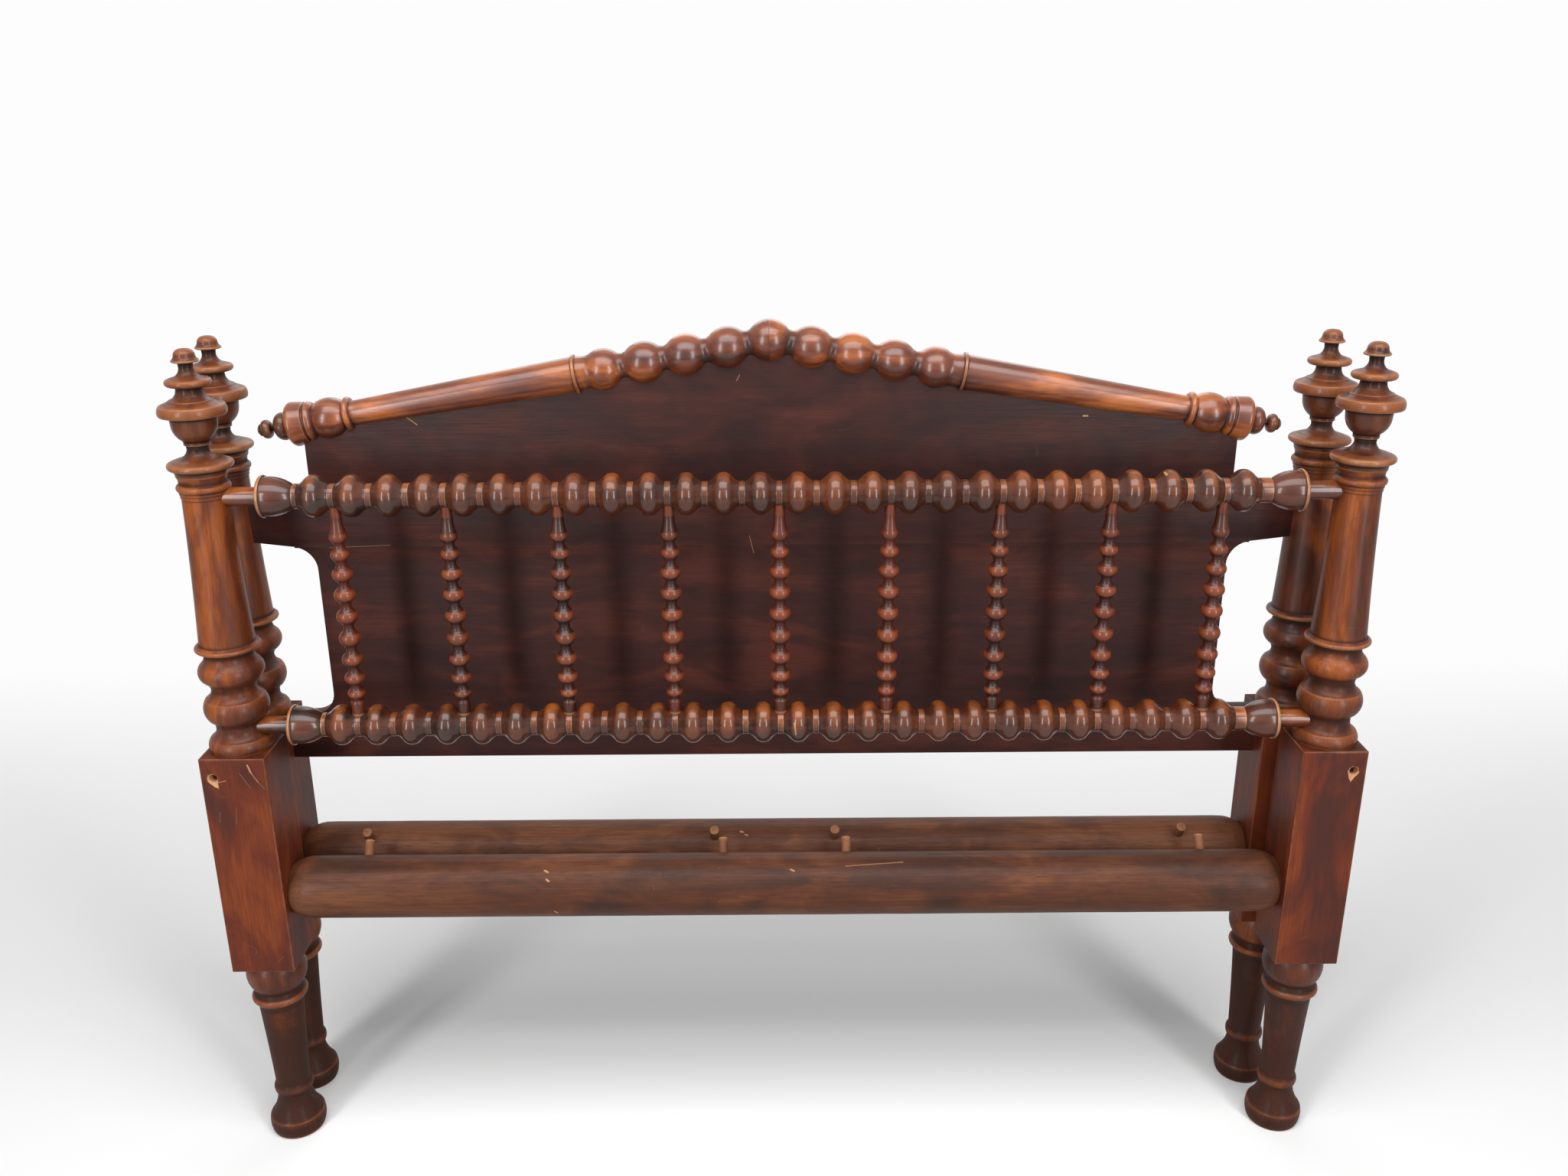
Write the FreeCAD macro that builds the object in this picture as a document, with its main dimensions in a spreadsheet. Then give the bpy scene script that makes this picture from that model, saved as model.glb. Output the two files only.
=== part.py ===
import FreeCAD, Part
import math
import os

import Sketcher

# The two ends of a turned double bedstead, stood close together as they are put away.
# In front is the footboard: two turned posts joined by a round cross rail and by two
# beaded rails with nine beaded spindles between them. Behind it is the headboard: two
# posts of the same turning, a round cross rail and a shaped panel under a peaked,
# beaded crest. Millimetres, +Z up, X across the bed and Y along it, with the origin on
# the floor in the middle of both ends.

os.makedirs("parts", exist_ok=True)
doc = FreeCAD.newDocument("SpindleBedEnds")

# ---------------------------------------------------------------- driving dimensions

DRIVING = [
    ("post_spacing", 1343.0, "between the axes of an end's two posts"),
    ("end_gap", 97.0, "from the footboard's plane to the headboard's"),
    ("end_shift", 13.0, "headboard's offset sideways from the footboard"),
    ("block_width", 80.0, "square block of a post"),
    ("block_low", 272.0, "underside of the block, top of the turned leg"),
    ("block_high", 575.0, "top of the block"),
    ("post_top", 921.0, "shoulder where the finial sits"),
    ("finial_top", 1065.0, "top of the finial's cap"),
    ("ball_radius", 38.4, "balls above the block"),
    ("column_low_radius", 32.4, "column at its foot"),
    ("column_high_radius", 25.8, "column under its top beads"),
    ("disc_radius", 36.6, "disc at the foot of the finial"),
    ("torus_radius", 37.4, "fat ring of the finial"),
    ("foot_radius", 36.3, "turned foot at the floor"),
    ("dowel_radius", 8.0, "finial's dowel"),
    ("dowel_length", 14.0, "finial's dowel into the post"),
    ("top_rail_height", 893.5, "axis of the top beaded rail"),
    ("low_rail_height", 602.0, "axis of the lower beaded rail"),
    ("bead_count", 26.0, "beads on a beaded rail"),
    ("bead_pitch", 43.25, "from bead to bead"),
    ("bead_radius", 25.2, "beads of the rails"),
    ("collar_radius", 14.8, "small collars between the beads"),
    ("rail_shift", -4.0, "beads of both rails, off the middle"),
    ("drum_end", 606.5, "outer face of a rail's end drum"),
    ("rail_tenon_radius", 11.2, "round tenon of a beaded rail"),
    ("spindle_count", 9.0, "spindles of the footboard"),
    ("spindle_step", 3.0, "beads from one spindle to the next"),
    ("spindle_bead_radius", 12.9, "widest bead of a spindle"),
    ("spindle_neck_radius", 6.2, "necks between a spindle's beads"),
    ("spindle_top_pin_radius", 6.6, "upper pin of a spindle"),
    ("spindle_low_pin_radius", 7.9, "lower pin of a spindle"),
    ("cross_rail_radius", 39.5, "round cross rails"),
    ("foot_cross_height", 373.0, "axis of the footboard's cross rail"),
    ("head_cross_height", 369.0, "axis of the headboard's cross rail"),
    ("cross_tenon_radius", 22.0, "round tenon of a cross rail"),
    ("cross_tenon_length", 38.5, "tenon into the block"),
    ("peg_radius", 6.0, "pegs in the cross rails"),
    ("peg_reach", 60.0, "from the cross rail's axis to a peg's end"),
    ("peg_tilt", 36.0, "pegs, leaning in from upright, in degrees"),
    ("outer_peg_x", 540.0, "outer pegs from the middle"),
    ("inner_peg_x", 80.0, "inner pegs from the middle"),
    ("panel_thickness", 20.0, "both boards of the head panel"),
    ("panel_bottom", 515.0, "lower edge of the head panel"),
    ("glue_line", 804.5, "joint between the two boards"),
    ("panel_half_width", 567.5, "from the middle to the panel's side"),
    ("ear_top", 862.0, "upper edge of the upper ears"),
    ("low_ear_top", 577.0, "upper edge of the lower ears"),
    ("panel_tenon_thickness", 13.6, "ears' tenons into the posts"),
    ("crest_height", 1056.4, "crest's axis at the peak"),
    ("crest_rise", 0.1705, "crest's slope, rise over run"),
    ("crest_shift", -1.8, "peak, off the headboard's middle"),
    ("crest_pitch", 50.8, "beads of the crest, along its axis"),
    ("crest_bead_radius", 25.2, "beads of the crest"),
    ("crest_valley_radius", 15.4, "between the crest's beads"),
    ("crest_length", 591.0, "from the peak to a drum's end face"),
    ("groove_depth", 8.0, "crest's axis above the panel's upper edge"),
    ("bolt_hole_radius", 5.5, "side rail bolt holes"),
    ("bolt_hole_out", 25.0, "bolt hole outward from the post's axis"),
    ("bolt_hole_down", 26.0, "bolt hole below the block's top"),
    ("fit_gap", 0.1, "clearance of each joint, each side"),
]

sheet = doc.addObject("Spreadsheet::Sheet", "dims")
for row, (alias, number, meaning) in enumerate(DRIVING, start=1):
    sheet.set(f"A{row}", alias)
    sheet.set(f"B{row}", str(number))
    sheet.set(f"C{row}", meaning)
    sheet.setAlias(f"B{row}", alias)
doc.recompute()


class Size:
    """A number together with the sheet formula that gives it."""

    def __init__(self, number, formula):
        self.number = number
        self.formula = formula

    @staticmethod
    def of(item):
        if isinstance(item, Size):
            return item
        return Size(float(item), f"({float(item)!r})")

    def joined(self, sign, other, number):
        return Size(number, f"({self.formula} {sign} {other.formula})")

    def __add__(self, item):
        other = Size.of(item)
        return self.joined("+", other, self.number + other.number)

    def __sub__(self, item):
        other = Size.of(item)
        return self.joined("-", other, self.number - other.number)

    def __mul__(self, item):
        other = Size.of(item)
        return self.joined("*", other, self.number * other.number)

    def __truediv__(self, item):
        other = Size.of(item)
        return self.joined("/", other, self.number / other.number)

    def __radd__(self, item):
        return Size.of(item) + self

    def __rsub__(self, item):
        return Size.of(item) - self

    def __rmul__(self, item):
        return Size.of(item) * self

    def __neg__(self):
        return self * -1

    def root(self):
        return Size(math.sqrt(self.number), f"sqrt({self.formula})")

    def slope_angle(self):
        return Size(math.degrees(math.atan(self.number)), f"atan({self.formula})")


class Sheet:
    """The driving dimensions by name, read back from the spreadsheet."""

    def __getattr__(self, alias):
        return Size(float(sheet.get(alias)), f"dims.{alias}")


dims = Sheet()

FOOT_X = dims.end_shift / 2
FOOT_Y = dims.end_gap / -2
HEAD_X = dims.end_shift / -2
HEAD_Y = dims.end_gap / 2
HALF_SPACING = dims.post_spacing / 2
HALF_BLOCK = dims.block_width / 2
SLOPE_LENGTH = (dims.crest_rise * dims.crest_rise + 1).root()

# ---------------------------------------------------------------- drawing and features


def new_body(label, x, y, z=0.0, turn=None):
    """An empty body at a place; turn is an axis letter and an angle."""
    body = doc.addObject("PartDesign::Body", label)
    body.Label = label
    if turn:
        axis = FreeCAD.Vector(turn[0] == "X", turn[0] == "Y", 0)
        body.Placement = FreeCAD.Placement(FreeCAD.Vector(), FreeCAD.Rotation(axis, turn[1].number))
        body.setExpression("Placement.Rotation.Angle", turn[1].formula)
    for letter, place in zip("xyz", (x, y, z)):
        body.setExpression(f"Placement.Base.{letter}", Size.of(place).formula)
    return body


def new_sketch(body, name, plane_role, lift=None, tilt=None):
    """A sketch on one of the body's planes, lifted along its normal or tilted about X."""
    plane = next(item for item in body.Origin.OriginFeatures if item.Role == plane_role)
    sketch = body.newObject("Sketcher::SketchObject", f"{body.Name}_{name}")
    sketch.AttachmentSupport = [(plane, "")]
    sketch.MapMode = "FlatFace"
    if tilt is not None:
        turned = FreeCAD.Rotation(FreeCAD.Vector(1, 0, 0), tilt.number)
        sketch.AttachmentOffset = FreeCAD.Placement(FreeCAD.Vector(), turned)
        sketch.setExpression("AttachmentOffset.Rotation.Angle", tilt.formula)
    if lift is not None:
        sketch.setExpression("AttachmentOffset.Base.z", lift.formula)
    return sketch


class Constraints:
    """Constraints of a sketch, gathered and then added together with their formulas."""

    def __init__(self, sketch):
        self.sketch = sketch
        self.items = []
        self.formulas = {}

    def add(self, kind, *values, formula=None):
        if formula is not None:
            self.formulas[len(self.items)] = formula
        self.items.append(Sketcher.Constraint(kind, *values))

    def pin_point(self, geometry, end, place):
        """Fixes one end of a piece of geometry at a place given in sheet formulas."""
        for kind, axis, size in (("DistanceX", -2, place[0]), ("DistanceY", -1, place[1])):
            if abs(size.number) < 1e-9:
                self.add("PointOnObject", geometry, end, axis)
            else:
                self.add(kind, -1, 1, geometry, end, size.number, formula=size.formula)

    def apply(self):
        first = self.sketch.ConstraintCount
        self.sketch.addConstraint(self.items)
        for index, formula in self.formulas.items():
            self.sketch.setExpression(f"Constraints[{first + index}]", formula)


def arc_through(first, middle, last):
    """The arc through three points, anticlockwise as a sketch needs it, and which of its
    ends (1 is its start, 2 its end) lie at first and at last."""
    through = Part.Circle(first, middle, last)
    circle = Part.Circle(through.Center, FreeCAD.Vector(0, 0, 1), through.Radius)
    anticlockwise = (middle - first).cross(last - middle).z > 0
    begin, finish = (first, last) if anticlockwise else (last, first)
    angles = [math.atan2(p.y - circle.Center.y, p.x - circle.Center.x) for p in (begin, finish)]
    if angles[1] < angles[0]:
        angles[1] += 2 * math.pi
    return Part.ArcOfCircle(circle, *angles), ((1, 2) if anticlockwise else (2, 1))


def draw_outline(sketch, start, steps):
    """A closed outline from start. A step of two sizes is a straight run to that point;
    one of four is an arc through the first point to the second. It closes straight."""
    start = tuple(Size.of(size) for size in start)
    steps = [tuple(Size.of(size) for size in step) for step in steps] + [start]
    corners = [start] + [step[-2:] for step in steps[:-1]]
    flat = [FreeCAD.Vector(x.number, y.number, 0) for x, y in corners]
    constraints = Constraints(sketch)
    edges = []
    for index, step in enumerate(steps):
        first, last = flat[index], flat[(index + 1) % len(flat)]
        if len(step) == 2:
            edges.append((sketch.addGeometry(Part.LineSegment(first, last), False), (1, 2)))
            continue
        middle = FreeCAD.Vector(step[0].number, step[1].number, 0)
        arc, ends = arc_through(first, middle, last)
        edges.append((sketch.addGeometry(arc, False), ends))
        mark = sketch.addGeometry(Part.Point(middle), True)
        constraints.add("PointOnObject", mark, 1, edges[-1][0])
        constraints.pin_point(mark, 1, step[:2])
    for index, corner in enumerate(corners):
        before, (_, before_end) = edges[index - 1]
        after, (after_start, _) = edges[index]
        constraints.add("Coincident", before, before_end, after, after_start)
        constraints.pin_point(after, after_start, corner)
    constraints.apply()


def draw_circle(sketch, x, y, radius):
    x, y, radius = Size.of(x), Size.of(y), Size.of(radius)
    centre = FreeCAD.Vector(x.number, y.number, 0)
    circle = sketch.addGeometry(Part.Circle(centre, FreeCAD.Vector(0, 0, 1), radius.number), False)
    constraints = Constraints(sketch)
    constraints.add("Radius", circle, radius.number, formula=radius.formula)
    constraints.pin_point(circle, 3, (x, y))
    constraints.apply()


def draw_box(sketch, low_x, high_x, low_y, high_y):
    draw_outline(sketch, (low_x, low_y), [(high_x, low_y), (high_x, high_y), (low_x, high_y)])


def turn_upright(body, name, start, steps):
    """A solid turned about the body's Z axis from an outline of (radius, height)."""
    sketch = new_sketch(body, name, "XZ_Plane")
    draw_outline(sketch, start, steps)
    return revolve(body, name, sketch, "V_Axis")


def turn_lying(body, name, start, steps, side=1):
    """A solid turned about the body's X axis from an outline of (station, radius)."""
    sketch = new_sketch(body, name, "XZ_Plane")

    def mirrored(step):
        return tuple(size * side if place % 2 == 0 else size for place, size in enumerate(step))

    draw_outline(sketch, mirrored(start), [mirrored(step) for step in steps])
    return revolve(body, name, sketch, "H_Axis")


def revolve(body, name, sketch, axis):
    feature = body.newObject("PartDesign::Revolution", f"{body.Name}_{name}_turned")
    feature.Profile = sketch
    feature.ReferenceAxis = (sketch, [axis])
    feature.Angle = 360
    return feature


def pad(body, name, sketch, length, both_ways=False):
    feature = body.newObject("PartDesign::Pad", f"{body.Name}_{name}_pad")
    feature.Profile = sketch
    feature.SideType = "Symmetric" if both_ways else "One side"
    feature.setExpression("Length", length.formula)
    return feature


def cut(body, name, sketch, against_normal=True, both_ways=False, depth=None):
    """A pocket through everything on one side of the sketch, or to a depth."""
    feature = body.newObject("PartDesign::Pocket", f"{body.Name}_{name}_cut")
    feature.Profile = sketch
    feature.SideType = "Symmetric" if both_ways else "One side"
    feature.Reversed = not against_normal
    if depth is None:
        feature.Type = "ThroughAll"
    else:
        feature.Type = "Length"
        feature.setExpression("Length", depth.formula)
    return feature


def repeat_along_x(body, name, feature, sketch, count, step):
    pattern = body.newObject("PartDesign::LinearPattern", f"{body.Name}_{name}_row")
    pattern.Originals = [feature]
    pattern.Direction = (sketch, ["H_Axis"])
    pattern.setExpression("Occurrences", count.formula)
    pattern.setExpression("Length", ((count - 1) * step).formula)
    body.Tip = pattern
    return pattern


# ---------------------------------------------------------------- posts and finials


def post_outline():
    """(radius, height) up the outside of a post, from the floor to the finial's seat."""
    foot = dims.foot_radius
    leg = dims.block_low
    high = dims.block_high
    ball = dims.ball_radius
    column_low = dims.column_low_radius
    column_high = dims.column_high_radius
    top = dims.post_top
    return (0, 0), [
        (foot - 3.5, 0),
        (foot, leg * 0.055, foot - 1, leg * 0.088),
        (foot - 9, leg * 0.135, foot - 14, leg * 0.195),
        (foot - 14, leg * 0.220),
        (foot - 11, leg * 0.252, foot - 14.2, leg * 0.280),
        (foot - 11.8, leg * 0.494, foot - 7.9, leg * 0.745),
        (foot - 4.6, leg * 0.772),
        (foot - 1, leg * 0.790, foot - 4.8, leg * 0.809),
        (foot - 7.5, leg * 0.831),
        (ball - 0.2, leg * 0.915, foot - 5, leg),
        (HALF_BLOCK - 9, leg),
        (HALF_BLOCK - 9, high),
        (ball - 1.6, high),
        (ball, high + 8, ball - 3.6, high + 16),
        (ball - 9.6, high + 21.5, ball - 11.3, high + 28),
        (ball - 11.3, high + 32),
        (ball - 9.7, high + 36.2, ball - 5.2, high + 40.5),
        (ball, high + 55.5, ball - 3.7, high + 67),
        (ball - 10.2, high + 73, ball - 12.3, high + 79),
        (ball - 11, high + 85, ball - 7.2, high + 90),
        (ball, high + 103, ball - 3.4, high + 112),
        (ball - 8.2, high + 118, ball - 9.8, high + 124.5),
        (ball - 9.2, high + 127.5),
        (ball - 3, high + 130.5),
        (ball - 0.2, high + 133.3, ball - 2.6, high + 136.5),
        (column_low, high + 138.7),
        (column_low - 4.1, high + 225, column_high, top - 28),
        (column_high, top - 26.5),
        (column_high + 0.9, top - 26.5),
        (column_high + 0.9, top - 22.5),
        (column_high + 1.8, top - 21.5),
        (column_high + 1.8, top - 18.5),
        (column_high + 4.4, top - 14, column_high + 1.6, top - 10.3),
        (column_high + 0.8, top - 9.3),
        (column_high + 0.9, top - 5, column_high + 3.2, top),
        (0, top),
    ]


CROWN_FLAT = 1.5


def finial_outline():
    """(radius, height) up the finial, with its dowel below the seat."""
    seat = dims.post_top
    tip = dims.finial_top
    disc = dims.disc_radius
    torus = dims.torus_radius
    return (0, seat - dims.dowel_length), [
        (dims.dowel_radius, seat - dims.dowel_length),
        (dims.dowel_radius, seat),
        (disc - 8, seat),
        (disc - 7.3, seat + 3.5, disc - 5.6, seat + 6.5),
        (disc - 2, seat + 7.8),
        (disc, seat + 11.3, disc - 2, seat + 15),
        (disc - 11.1, seat + 18.4),
        (disc - 20.4, seat + 22.2, disc - 24.6, seat + 29.5),
        (disc - 24, seat + 34.3),
        (disc - 22, seat + 35),
        (disc - 22, seat + 39),
        (disc - 21.4, seat + 40),
        (disc - 14.1, seat + 48, disc - 11.3, seat + 57),
        (disc - 10.6, seat + 66),
        (disc - 10.4, seat + 68.3),
        (torus - 1, seat + 69.3),
        (torus, seat + 71),
        (torus + 0.1, seat + 76.5, torus - 1.8, seat + 81),
        (torus - 12.4, seat + 85.6),
        (torus - 13.4, seat + 87),
        (torus - 19.6, seat + 90.5, torus - 22.5, seat + 96.5),
        (torus - 23.1, tip - 43.5),
        (torus - 22, tip - 42.4),
        (torus - 15.4, tip - 41.4),
        (torus - 12, tip - 37.4, torus - 13.8, tip - 33.8),
        (torus - 23.8, tip - 30.4),
        (torus - 28.1, tip - 26, torus - 29.5, tip - 21),
        (torus - 29.2, tip - 16.5),
        (torus - 28.4, tip - 15.4),
        (torus - 23, tip - 14.6),
        (torus - 22.1, tip - 13.4),
        (torus - 22.5, tip - 12.4),
        (torus - 24.8, tip - 10, torus - 25.8, tip - 6.4),
        (torus - 27.8, tip - 2.2, CROWN_FLAT, tip),
        (0, tip),
    ]


def square_block(body):
    sketch = new_sketch(body, "block", "XY_Plane", lift=dims.block_low)
    draw_box(sketch, -HALF_BLOCK, HALF_BLOCK, -HALF_BLOCK, HALF_BLOCK)
    pad(body, "block", sketch, dims.block_high - dims.block_low)


def round_socket(body, name, side, height, radius):
    """A round socket from the post's axis out through the face towards the bed's middle."""
    sketch = new_sketch(body, name, "YZ_Plane")
    draw_circle(sketch, 0, height, radius + dims.fit_gap)
    cut(body, name, sketch, against_normal=side > 0)


def flat_mortise(body, name, side, low, high):
    """A mortise for one of the panel's tenons, cut like round_socket."""
    half = dims.panel_tenon_thickness / 2 + dims.fit_gap
    sketch = new_sketch(body, name, "YZ_Plane")
    draw_box(sketch, -half, half, low - dims.fit_gap, high + dims.fit_gap)
    cut(body, name, sketch, against_normal=side > 0)


def make_post(end, hand, side, middle, plane):
    """A post: turning, block, finial socket, cross rail socket and bolt hole."""
    body = new_body(f"{end}_post_{hand}", middle + HALF_SPACING * side, plane)
    turn_upright(body, "turning", *post_outline())
    square_block(body)
    seat = new_sketch(body, "seat", "XY_Plane", lift=dims.post_top)
    draw_circle(seat, 0, 0, dims.dowel_radius + dims.fit_gap)
    cut(body, "seat", seat, depth=dims.dowel_length + 1.5)
    bolt = new_sketch(body, "bolt", "XZ_Plane")
    bolt_height = dims.block_high - dims.bolt_hole_down
    draw_circle(bolt, dims.bolt_hole_out * side, bolt_height, dims.bolt_hole_radius)
    cut(body, "bolt", bolt, both_ways=True)
    return body


def make_finial(end, hand, side, middle, plane):
    body = new_body(f"{end}_finial_{hand}", middle + HALF_SPACING * side, plane)
    turn_upright(body, "turning", *finial_outline())


SIDES = (("left", -1), ("right", 1))
LOW_TENON = (dims.panel_bottom + 7, dims.low_ear_top - 8)
HIGH_TENON = (dims.glue_line + 8, dims.ear_top - 4)

for hand, side in SIDES:
    post = make_post("foot", hand, side, FOOT_X, FOOT_Y)
    round_socket(post, "cross", side, dims.foot_cross_height, dims.cross_tenon_radius)
    round_socket(post, "low_rail", side, dims.low_rail_height, dims.rail_tenon_radius)
    round_socket(post, "top_rail", side, dims.top_rail_height, dims.rail_tenon_radius)
    make_finial("foot", hand, side, FOOT_X, FOOT_Y)

    post = make_post("head", hand, side, HEAD_X, HEAD_Y)
    round_socket(post, "cross", side, dims.head_cross_height, dims.cross_tenon_radius)
    flat_mortise(post, "low_ear", side, *LOW_TENON)
    flat_mortise(post, "high_ear", side, *HIGH_TENON)
    make_finial("head", hand, side, HEAD_X, HEAD_Y)

# ---------------------------------------------------------------- beaded rails

HALF_PITCH = dims.bead_pitch / 2
BEAD_HALF = HALF_PITCH - 3.5
FIRST_BEAD = dims.rail_shift - dims.bead_pitch * (dims.bead_count - 1) / 2
LAST_BEAD = dims.rail_shift + dims.bead_pitch * (dims.bead_count - 1) / 2
FIRST_SPINDLE = dims.rail_shift - dims.bead_pitch * dims.spindle_step * (dims.spindle_count - 1) / 2


def add_beads(rail):
    """One bead between two half collars, repeated along the rail."""
    collar = dims.collar_radius
    valley = collar - 0.8
    bead = dims.bead_radius
    sketch = new_sketch(rail, "bead", "XZ_Plane")
    draw_outline(sketch, (FIRST_BEAD - HALF_PITCH, 0), [
        (FIRST_BEAD - HALF_PITCH, collar),
        (FIRST_BEAD - BEAD_HALF, collar),
        (FIRST_BEAD - BEAD_HALF, valley),
        (FIRST_BEAD - 13.6, bead - 8.1, FIRST_BEAD - 9.6, bead - 4.3),
        (FIRST_BEAD, bead, FIRST_BEAD + 9.6, bead - 4.3),
        (FIRST_BEAD + 13.6, bead - 8.1, FIRST_BEAD + BEAD_HALF, valley),
        (FIRST_BEAD + BEAD_HALF, collar),
        (FIRST_BEAD + HALF_PITCH, collar),
        (FIRST_BEAD + HALF_PITCH, 0),
    ])
    turned = revolve(rail, "bead", sketch, "H_Axis")
    repeat_along_x(rail, "bead", turned, sketch, dims.bead_count, dims.bead_pitch)


def add_drum(rail, hand, side, inner):
    """The barrel between the last bead and the tenon, lipped at its outer end."""
    outer = dims.drum_end
    radius = dims.bead_radius
    turn_lying(rail, f"drum_{hand}", (inner, 0), [
        (inner, dims.collar_radius),
        (outer - 38.4, dims.collar_radius),
        (outer - 38.4, dims.collar_radius - 1.8),
        (outer - 24, radius - 4, outer - 6.5, radius - 2),
        (outer - 4.8, radius - 1.8),
        (outer - 4.2, radius - 0.4),
        (outer - 2, radius, outer, radius - 1.6),
        (outer, 0),
    ], side)


def make_beaded_rail(label, height, holes_open_up):
    rail = new_body(label, FOOT_X, FOOT_Y, height)
    core = HALF_SPACING - 1.5
    tenon = dims.rail_tenon_radius
    turn_lying(rail, "core", (-core, 0), [(-core, tenon), (core, tenon), (core, 0)])
    add_drum(rail, "left", -1, HALF_PITCH - FIRST_BEAD)
    add_drum(rail, "right", 1, LAST_BEAD + HALF_PITCH)
    add_beads(rail)
    pin_radius = dims.spindle_low_pin_radius if holes_open_up else dims.spindle_top_pin_radius
    holes = new_sketch(rail, "spindle_hole", "XY_Plane")
    draw_circle(holes, FIRST_SPINDLE, 0, pin_radius + dims.fit_gap)
    hole = cut(rail, "spindle_hole", holes, against_normal=not holes_open_up)
    step = dims.bead_pitch * dims.spindle_step
    repeat_along_x(rail, "spindle_hole", hole, holes, dims.spindle_count, step)


make_beaded_rail("foot_top_beaded_rail", dims.top_rail_height, holes_open_up=False)
make_beaded_rail("foot_lower_beaded_rail", dims.low_rail_height, holes_open_up=True)

# ---------------------------------------------------------------- spindles

# Each bead of a spindle from the lowest: its height and how much slimmer it is than the
# widest one.
SPINDLE_BEADS = (
    (18.4, 2.6), (23.2, 0.9), (25.6, 0.4), (29.2, 0.0),
    (27.4, 0.1), (26.6, 0.2), (25.4, 0.7), (23.6, 1.7),
)


def spindle_outline():
    """(radius, height) up a spindle: pin, eight beads that swell and shrink, a teardrop
    and a slim pin, with the pins reaching nearly to the rails' axes."""
    neck = dims.spindle_neck_radius
    low_pin = dims.spindle_low_pin_radius
    top_pin = dims.spindle_top_pin_radius
    foot = dims.low_rail_height + 0.8
    height = dims.low_rail_height + 33.6
    steps = [(low_pin, foot), (low_pin, height - 3), (neck, height)]
    for number, (length, slimmer) in enumerate(SPINDLE_BEADS):
        bead = dims.spindle_bead_radius - slimmer
        flank = neck + (bead - neck) * 0.42
        hollow = (neck, height) if number else ()
        steps.append((*hollow, flank, height + length * 0.19))
        steps.append((bead, height + length * 0.45, flank, height + length * 0.74))
        height = height + length
    teardrop = dims.spindle_bead_radius - 2.3
    steps.append((neck, height, neck + 1.9, height + 3.4))
    steps.append((teardrop, height + 9, neck + 2.7, height + 15.5))
    steps.append((neck + 1.4, height + 21, top_pin, height + 31))
    steps.append((top_pin, dims.top_rail_height - 0.8))
    steps.append((0, dims.top_rail_height - 0.8))
    return (0, foot), steps


for number in range(int(dims.spindle_count.number)):
    along = FIRST_SPINDLE + dims.bead_pitch * dims.spindle_step * number
    spindle = new_body(f"foot_spindle_{number + 1}", FOOT_X + along, FOOT_Y)
    turn_upright(spindle, "turning", *spindle_outline())

# ---------------------------------------------------------------- cross rails and pegs

PEG_PLACES = (-dims.outer_peg_x, -dims.inner_peg_x, dims.inner_peg_x, dims.outer_peg_x)


def make_cross_rail(end, middle, plane, height, tilt):
    """The fat round rail between the blocks, eased at its ends, bored for its pegs."""
    rail = new_body(f"{end}_cross_rail", middle, plane, height)
    radius = dims.cross_rail_radius
    tenon = dims.cross_tenon_radius
    shoulder = HALF_SPACING - HALF_BLOCK - dims.fit_gap
    reach = shoulder + dims.cross_tenon_length
    eased = shoulder - 26
    bend = shoulder - 8
    turn_lying(rail, "rail", (-reach, 0), [
        (-reach, tenon),
        (-shoulder, tenon),
        (-shoulder, radius - 9),
        (-bend, radius - 4.1, -eased, radius),
        (eased, radius),
        (bend, radius - 4.1, shoulder, radius - 9),
        (shoulder, tenon),
        (reach, tenon),
        (reach, 0),
    ])
    sketch = new_sketch(rail, "peg_holes", "XY_Plane", tilt=tilt)
    for place in PEG_PLACES:
        draw_circle(sketch, place, 0, dims.peg_radius + dims.fit_gap)
    cut(rail, "peg_holes", sketch, against_normal=False)

    for number, place in enumerate(PEG_PLACES, start=1):
        peg = new_body(f"{end}_peg_{number}", middle + place, plane, height, turn=("X", tilt))
        turn_upright(peg, "turning", (0, 1.5), [
            (dims.peg_radius, 1.5),
            (dims.peg_radius, dims.peg_reach - 2),
            (dims.peg_radius - 1, dims.peg_reach - 1),
            (dims.peg_radius * 0.5, dims.peg_reach - 0.2, CROWN_FLAT, dims.peg_reach),
            (0, dims.peg_reach),
        ])


# The pegs lean towards the bed's middle, so the two ends' pegs lean towards each other.
make_cross_rail("foot", FOOT_X, FOOT_Y, dims.foot_cross_height, -dims.peg_tilt)
make_cross_rail("head", HEAD_X, HEAD_Y, dims.head_cross_height, dims.peg_tilt)

# ---------------------------------------------------------------- head panel

PANEL = dims.panel_half_width
LOW_SIDE = PANEL + 2.5
FLARE = LOW_SIDE + 26
COLUMN_SHOULDER = HALF_SPACING - 28.3
BLOCK_SHOULDER = HALF_SPACING - HALF_BLOCK - dims.fit_gap
TENON_REACH = HALF_SPACING - 2.5
PEAK = dims.crest_height - dims.groove_depth * SLOPE_LENGTH


def panel_edge(x, side):
    """Height of the panel's sloping upper edge at x on one side of the peak."""
    return PEAK - (x * side - dims.crest_shift) * side * dims.crest_rise


def add_panel_tenons(board, low, high, shoulder):
    for hand, side in SIDES:
        near, far = (shoulder - 12) * side, TENON_REACH * side
        sketch = new_sketch(board, f"tenon_{hand}", "XZ_Plane")
        draw_box(sketch, near, far, low, high)
        pad(board, f"tenon_{hand}", sketch, dims.panel_tenon_thickness, both_ways=True)


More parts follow.
